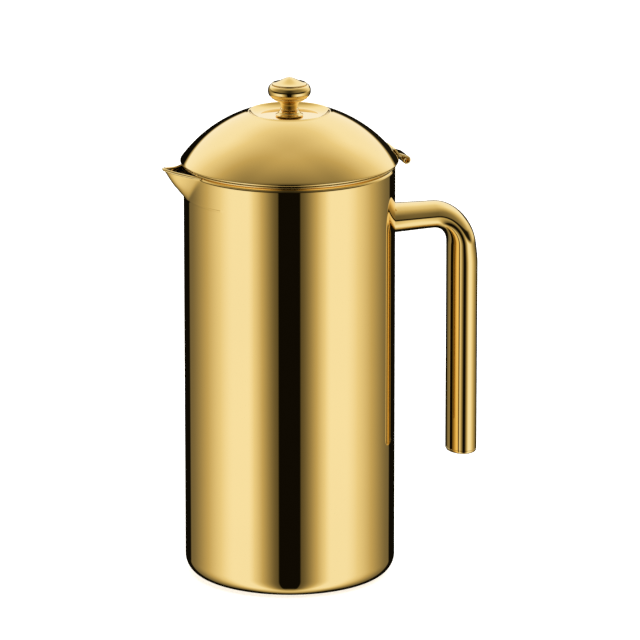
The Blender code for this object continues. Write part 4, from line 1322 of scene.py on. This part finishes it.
def studio_light(world, facing):
    """Tall soft panels beside the press, a bright wall behind it, and soft light overhead.

    In degrees, turn goes from the camera's side round to the far side, and lift goes up from
    the horizon.
    """
    world.use_nodes = True
    tree = world.node_tree
    tree.nodes.clear()
    direction = tree.nodes.new("ShaderNodeTexCoord").outputs["Generated"]
    split = tree.nodes.new("ShaderNodeSeparateXYZ")
    tree.links.new(direction, split.inputs[0])
    x, y, z = split.outputs
    flat = flat_length(tree, x, y)
    towards = math_node(tree, "ADD", math_node(tree, "MULTIPLY", x, facing.x),
                        math_node(tree, "MULTIPLY", y, facing.y))
    aside = math_node(tree, "SUBTRACT", math_node(tree, "MULTIPLY", y, facing.x),
                      math_node(tree, "MULTIPLY", x, facing.y))
    aim = math_node(tree, "DIVIDE", towards, math_node(tree, "MAXIMUM", flat, 0.0001))
    aim = math_node(tree, "MINIMUM", math_node(tree, "MAXIMUM", aim, -1.0), 1.0)
    turn = math_node(tree, "DEGREES", math_node(tree, "ARCCOSINE", aim))
    lift = math_node(tree, "DEGREES", math_node(tree, "ARCSINE", z))

    panel_edges = math_node(tree, "MULTIPLY", smooth_step(tree, turn, 11.0, 13.0),
                            smooth_step(tree, turn, 139.0, 142.5, 1.0, 0.0))
    panel_glow = soft_steps(tree, turn, 0.10, (11.0, 47.0, 0.83), (63.0, 139.0, -0.76))
    panels = math_node(tree, "MULTIPLY_ADD", panel_edges, panel_glow, 0.005)
    wall = soft_steps(tree, turn, 0.03, (0.0, 62.0, 0.20), (56.0, 140.0, 0.71))
    horizon = soft_steps(tree, turn, 0.01, (76.0, 127.0, 0.79), (143.0, 150.0, -0.79))
    horizon = math_node(tree, "MULTIPLY", horizon, smooth_step(tree, aside, -0.3, 0.3, 0.40, 1.0))

    above = blend_values(tree, smooth_step(tree, lift, 40.0, 90.0), wall, 0.60)
    below = blend_values(tree, smooth_step(tree, lift, -90.0, -60.0, 1.0, 0.0), panels, 0.70)
    level = blend_values(tree, smooth_step(tree, lift, -10.0, -3.0), below, horizon)
    level = blend_values(tree, smooth_step(tree, lift, 7.5, 12.0), level, above)
    colour = tone_ramp(tree, level, [(0.0, (0.0, 0.0, 0.0)), (0.55, (0.59, 0.50, 0.29)),
                                     (0.83, (0.89, 0.85, 0.70)), (0.91, (0.98, 1.00, 1.02)),
                                     (1.0, (1.08, 1.20, 1.50))])
    seen = tree.nodes.new("ShaderNodeBackground")
    seen.inputs["Color"].default_value = (1.0, 1.0, 1.0, 1.0)
    studio = tree.nodes.new("ShaderNodeBackground")
    tree.links.new(colour, studio.inputs["Color"])
    choose = tree.nodes.new("ShaderNodeMixShader")
    tree.links.new(tree.nodes.new("ShaderNodeLightPath").outputs["Is Camera Ray"],
                   choose.inputs["Fac"])
    tree.links.new(studio.outputs[0], choose.inputs[1])
    tree.links.new(seen.outputs[0], choose.inputs[2])
    output = tree.nodes.new("ShaderNodeOutputWorld")
    tree.links.new(choose.outputs[0], output.inputs["Surface"])


class PRESS_OT_stage(Operator):
    """Set up the table, the studio light and the camera"""

    bl_idname = "press.stage"
    bl_label = "Stage"

    def execute(self, context):
        scene = context.scene
        stage = scene.press_stage
        azimuth, elevation = stage.azimuth, stage.elevation
        back = Vector((sin(azimuth) * cos(elevation), -cos(azimuth) * cos(elevation), sin(elevation)))
        right = Vector((cos(azimuth), sin(azimuth), 0.0))
        target = right * stage.aim_right + Vector((0.0, 0.0, stage.aim_height))
        camera = bpy.data.objects.new("camera", bpy.data.cameras.new("camera"))
        camera.data.lens = stage.lens
        camera.data.clip_end = 50.0
        camera.location = target + back * stage.distance
        camera.rotation_euler = back.to_track_quat("Z", "Y").to_euler()
        scene.collection.objects.link(camera)
        scene.camera = camera

        shape = bmesh.new()
        bmesh.ops.create_grid(shape, x_segments=1, y_segments=1, size=12.0)
        table_mesh = bpy.data.meshes.new("table")
        shape.to_mesh(table_mesh)
        shape.free()
        table = bpy.data.objects.new("table", table_mesh)
        table.location.z = -0.2 * MM
        table.visible_glossy = False
        cover = bpy.data.materials.new("pale_table")
        cover.use_nodes = True
        shader = cover.node_tree.nodes["Principled BSDF"]
        shader.inputs["Base Color"].default_value = (0.92, 0.92, 0.92, 1.0)
        shader.inputs["Roughness"].default_value = 0.9
        shader.inputs["Emission Color"].default_value = (1.0, 1.0, 1.0, 1.0)
        shader.inputs["Emission Strength"].default_value = 0.72
        table_mesh.materials.append(cover)
        scene.collection.objects.link(table)

        lamp = bpy.data.lights.new("overhead", "AREA")
        lamp.size = 3.0
        lamp.energy = 60.0
        overhead = bpy.data.objects.new("overhead", lamp)
        overhead.location = (0.4, -0.6, 2.6)
        overhead.visible_glossy = False
        overhead.visible_camera = False
        scene.collection.objects.link(overhead)

        world = bpy.data.worlds.new("studio")
        scene.world = world
        studio_light(world, Vector((back.x, back.y)).normalized())
        scene.view_settings.view_transform = "Standard"
        scene.view_settings.look = "None"
        return {"FINISHED"}


# ---------------------------------------------------------------- the add-on

class PRESS_PT_pieces(Panel):
    """Lists the pieces of the press and the sizes that can be set"""

    bl_idname = "PRESS_PT_pieces"
    bl_label = "French Press"
    bl_space_type = "VIEW_3D"
    bl_region_type = "UI"
    bl_category = "Press"

    def draw(self, context):
        for name in SETTINGS:
            settings = getattr(context.scene, name)
            box = self.layout.box()
            for label in type(settings).__annotations__:
                box.prop(settings, label)
        for operator in PIECES:
            self.layout.operator(operator.bl_idname)


PIECES = (PRESS_OT_stage, PRESS_OT_pot_shell, PRESS_OT_spout_lip, PRESS_OT_inner_pot,
          PRESS_OT_base_disc, PRESS_OT_grip, PRESS_OT_dome, PRESS_OT_collar, PRESS_OT_thumb_rest,
          PRESS_OT_rod_guide, PRESS_OT_knob, PRESS_OT_shaft, PRESS_OT_holed_plate,
          PRESS_OT_edge_spring, PRESS_OT_filter_cloth, PRESS_OT_spoked_plate)
SETTINGS = {
    "press_pot": PotSettings,
    "press_lid": LidSettings,
    "press_filter": FilterSettings,
    "press_finish": FinishSettings,
    "press_stage": StageSettings,
}


def register():
    for cls in (*SETTINGS.values(), *PIECES, PRESS_PT_pieces):
        bpy.utils.register_class(cls)
    for name, cls in SETTINGS.items():
        setattr(bpy.types.Scene, name, PointerProperty(type=cls))


def unregister():
    for name in SETTINGS:
        delattr(bpy.types.Scene, name)
    for cls in reversed((*SETTINGS.values(), *PIECES, PRESS_PT_pieces)):
        bpy.utils.unregister_class(cls)


def main():
    register()
    for operator in PIECES:
        getattr(bpy.ops.press, operator.bl_idname.split(".")[1])()


if __name__ == "__main__":
    main()
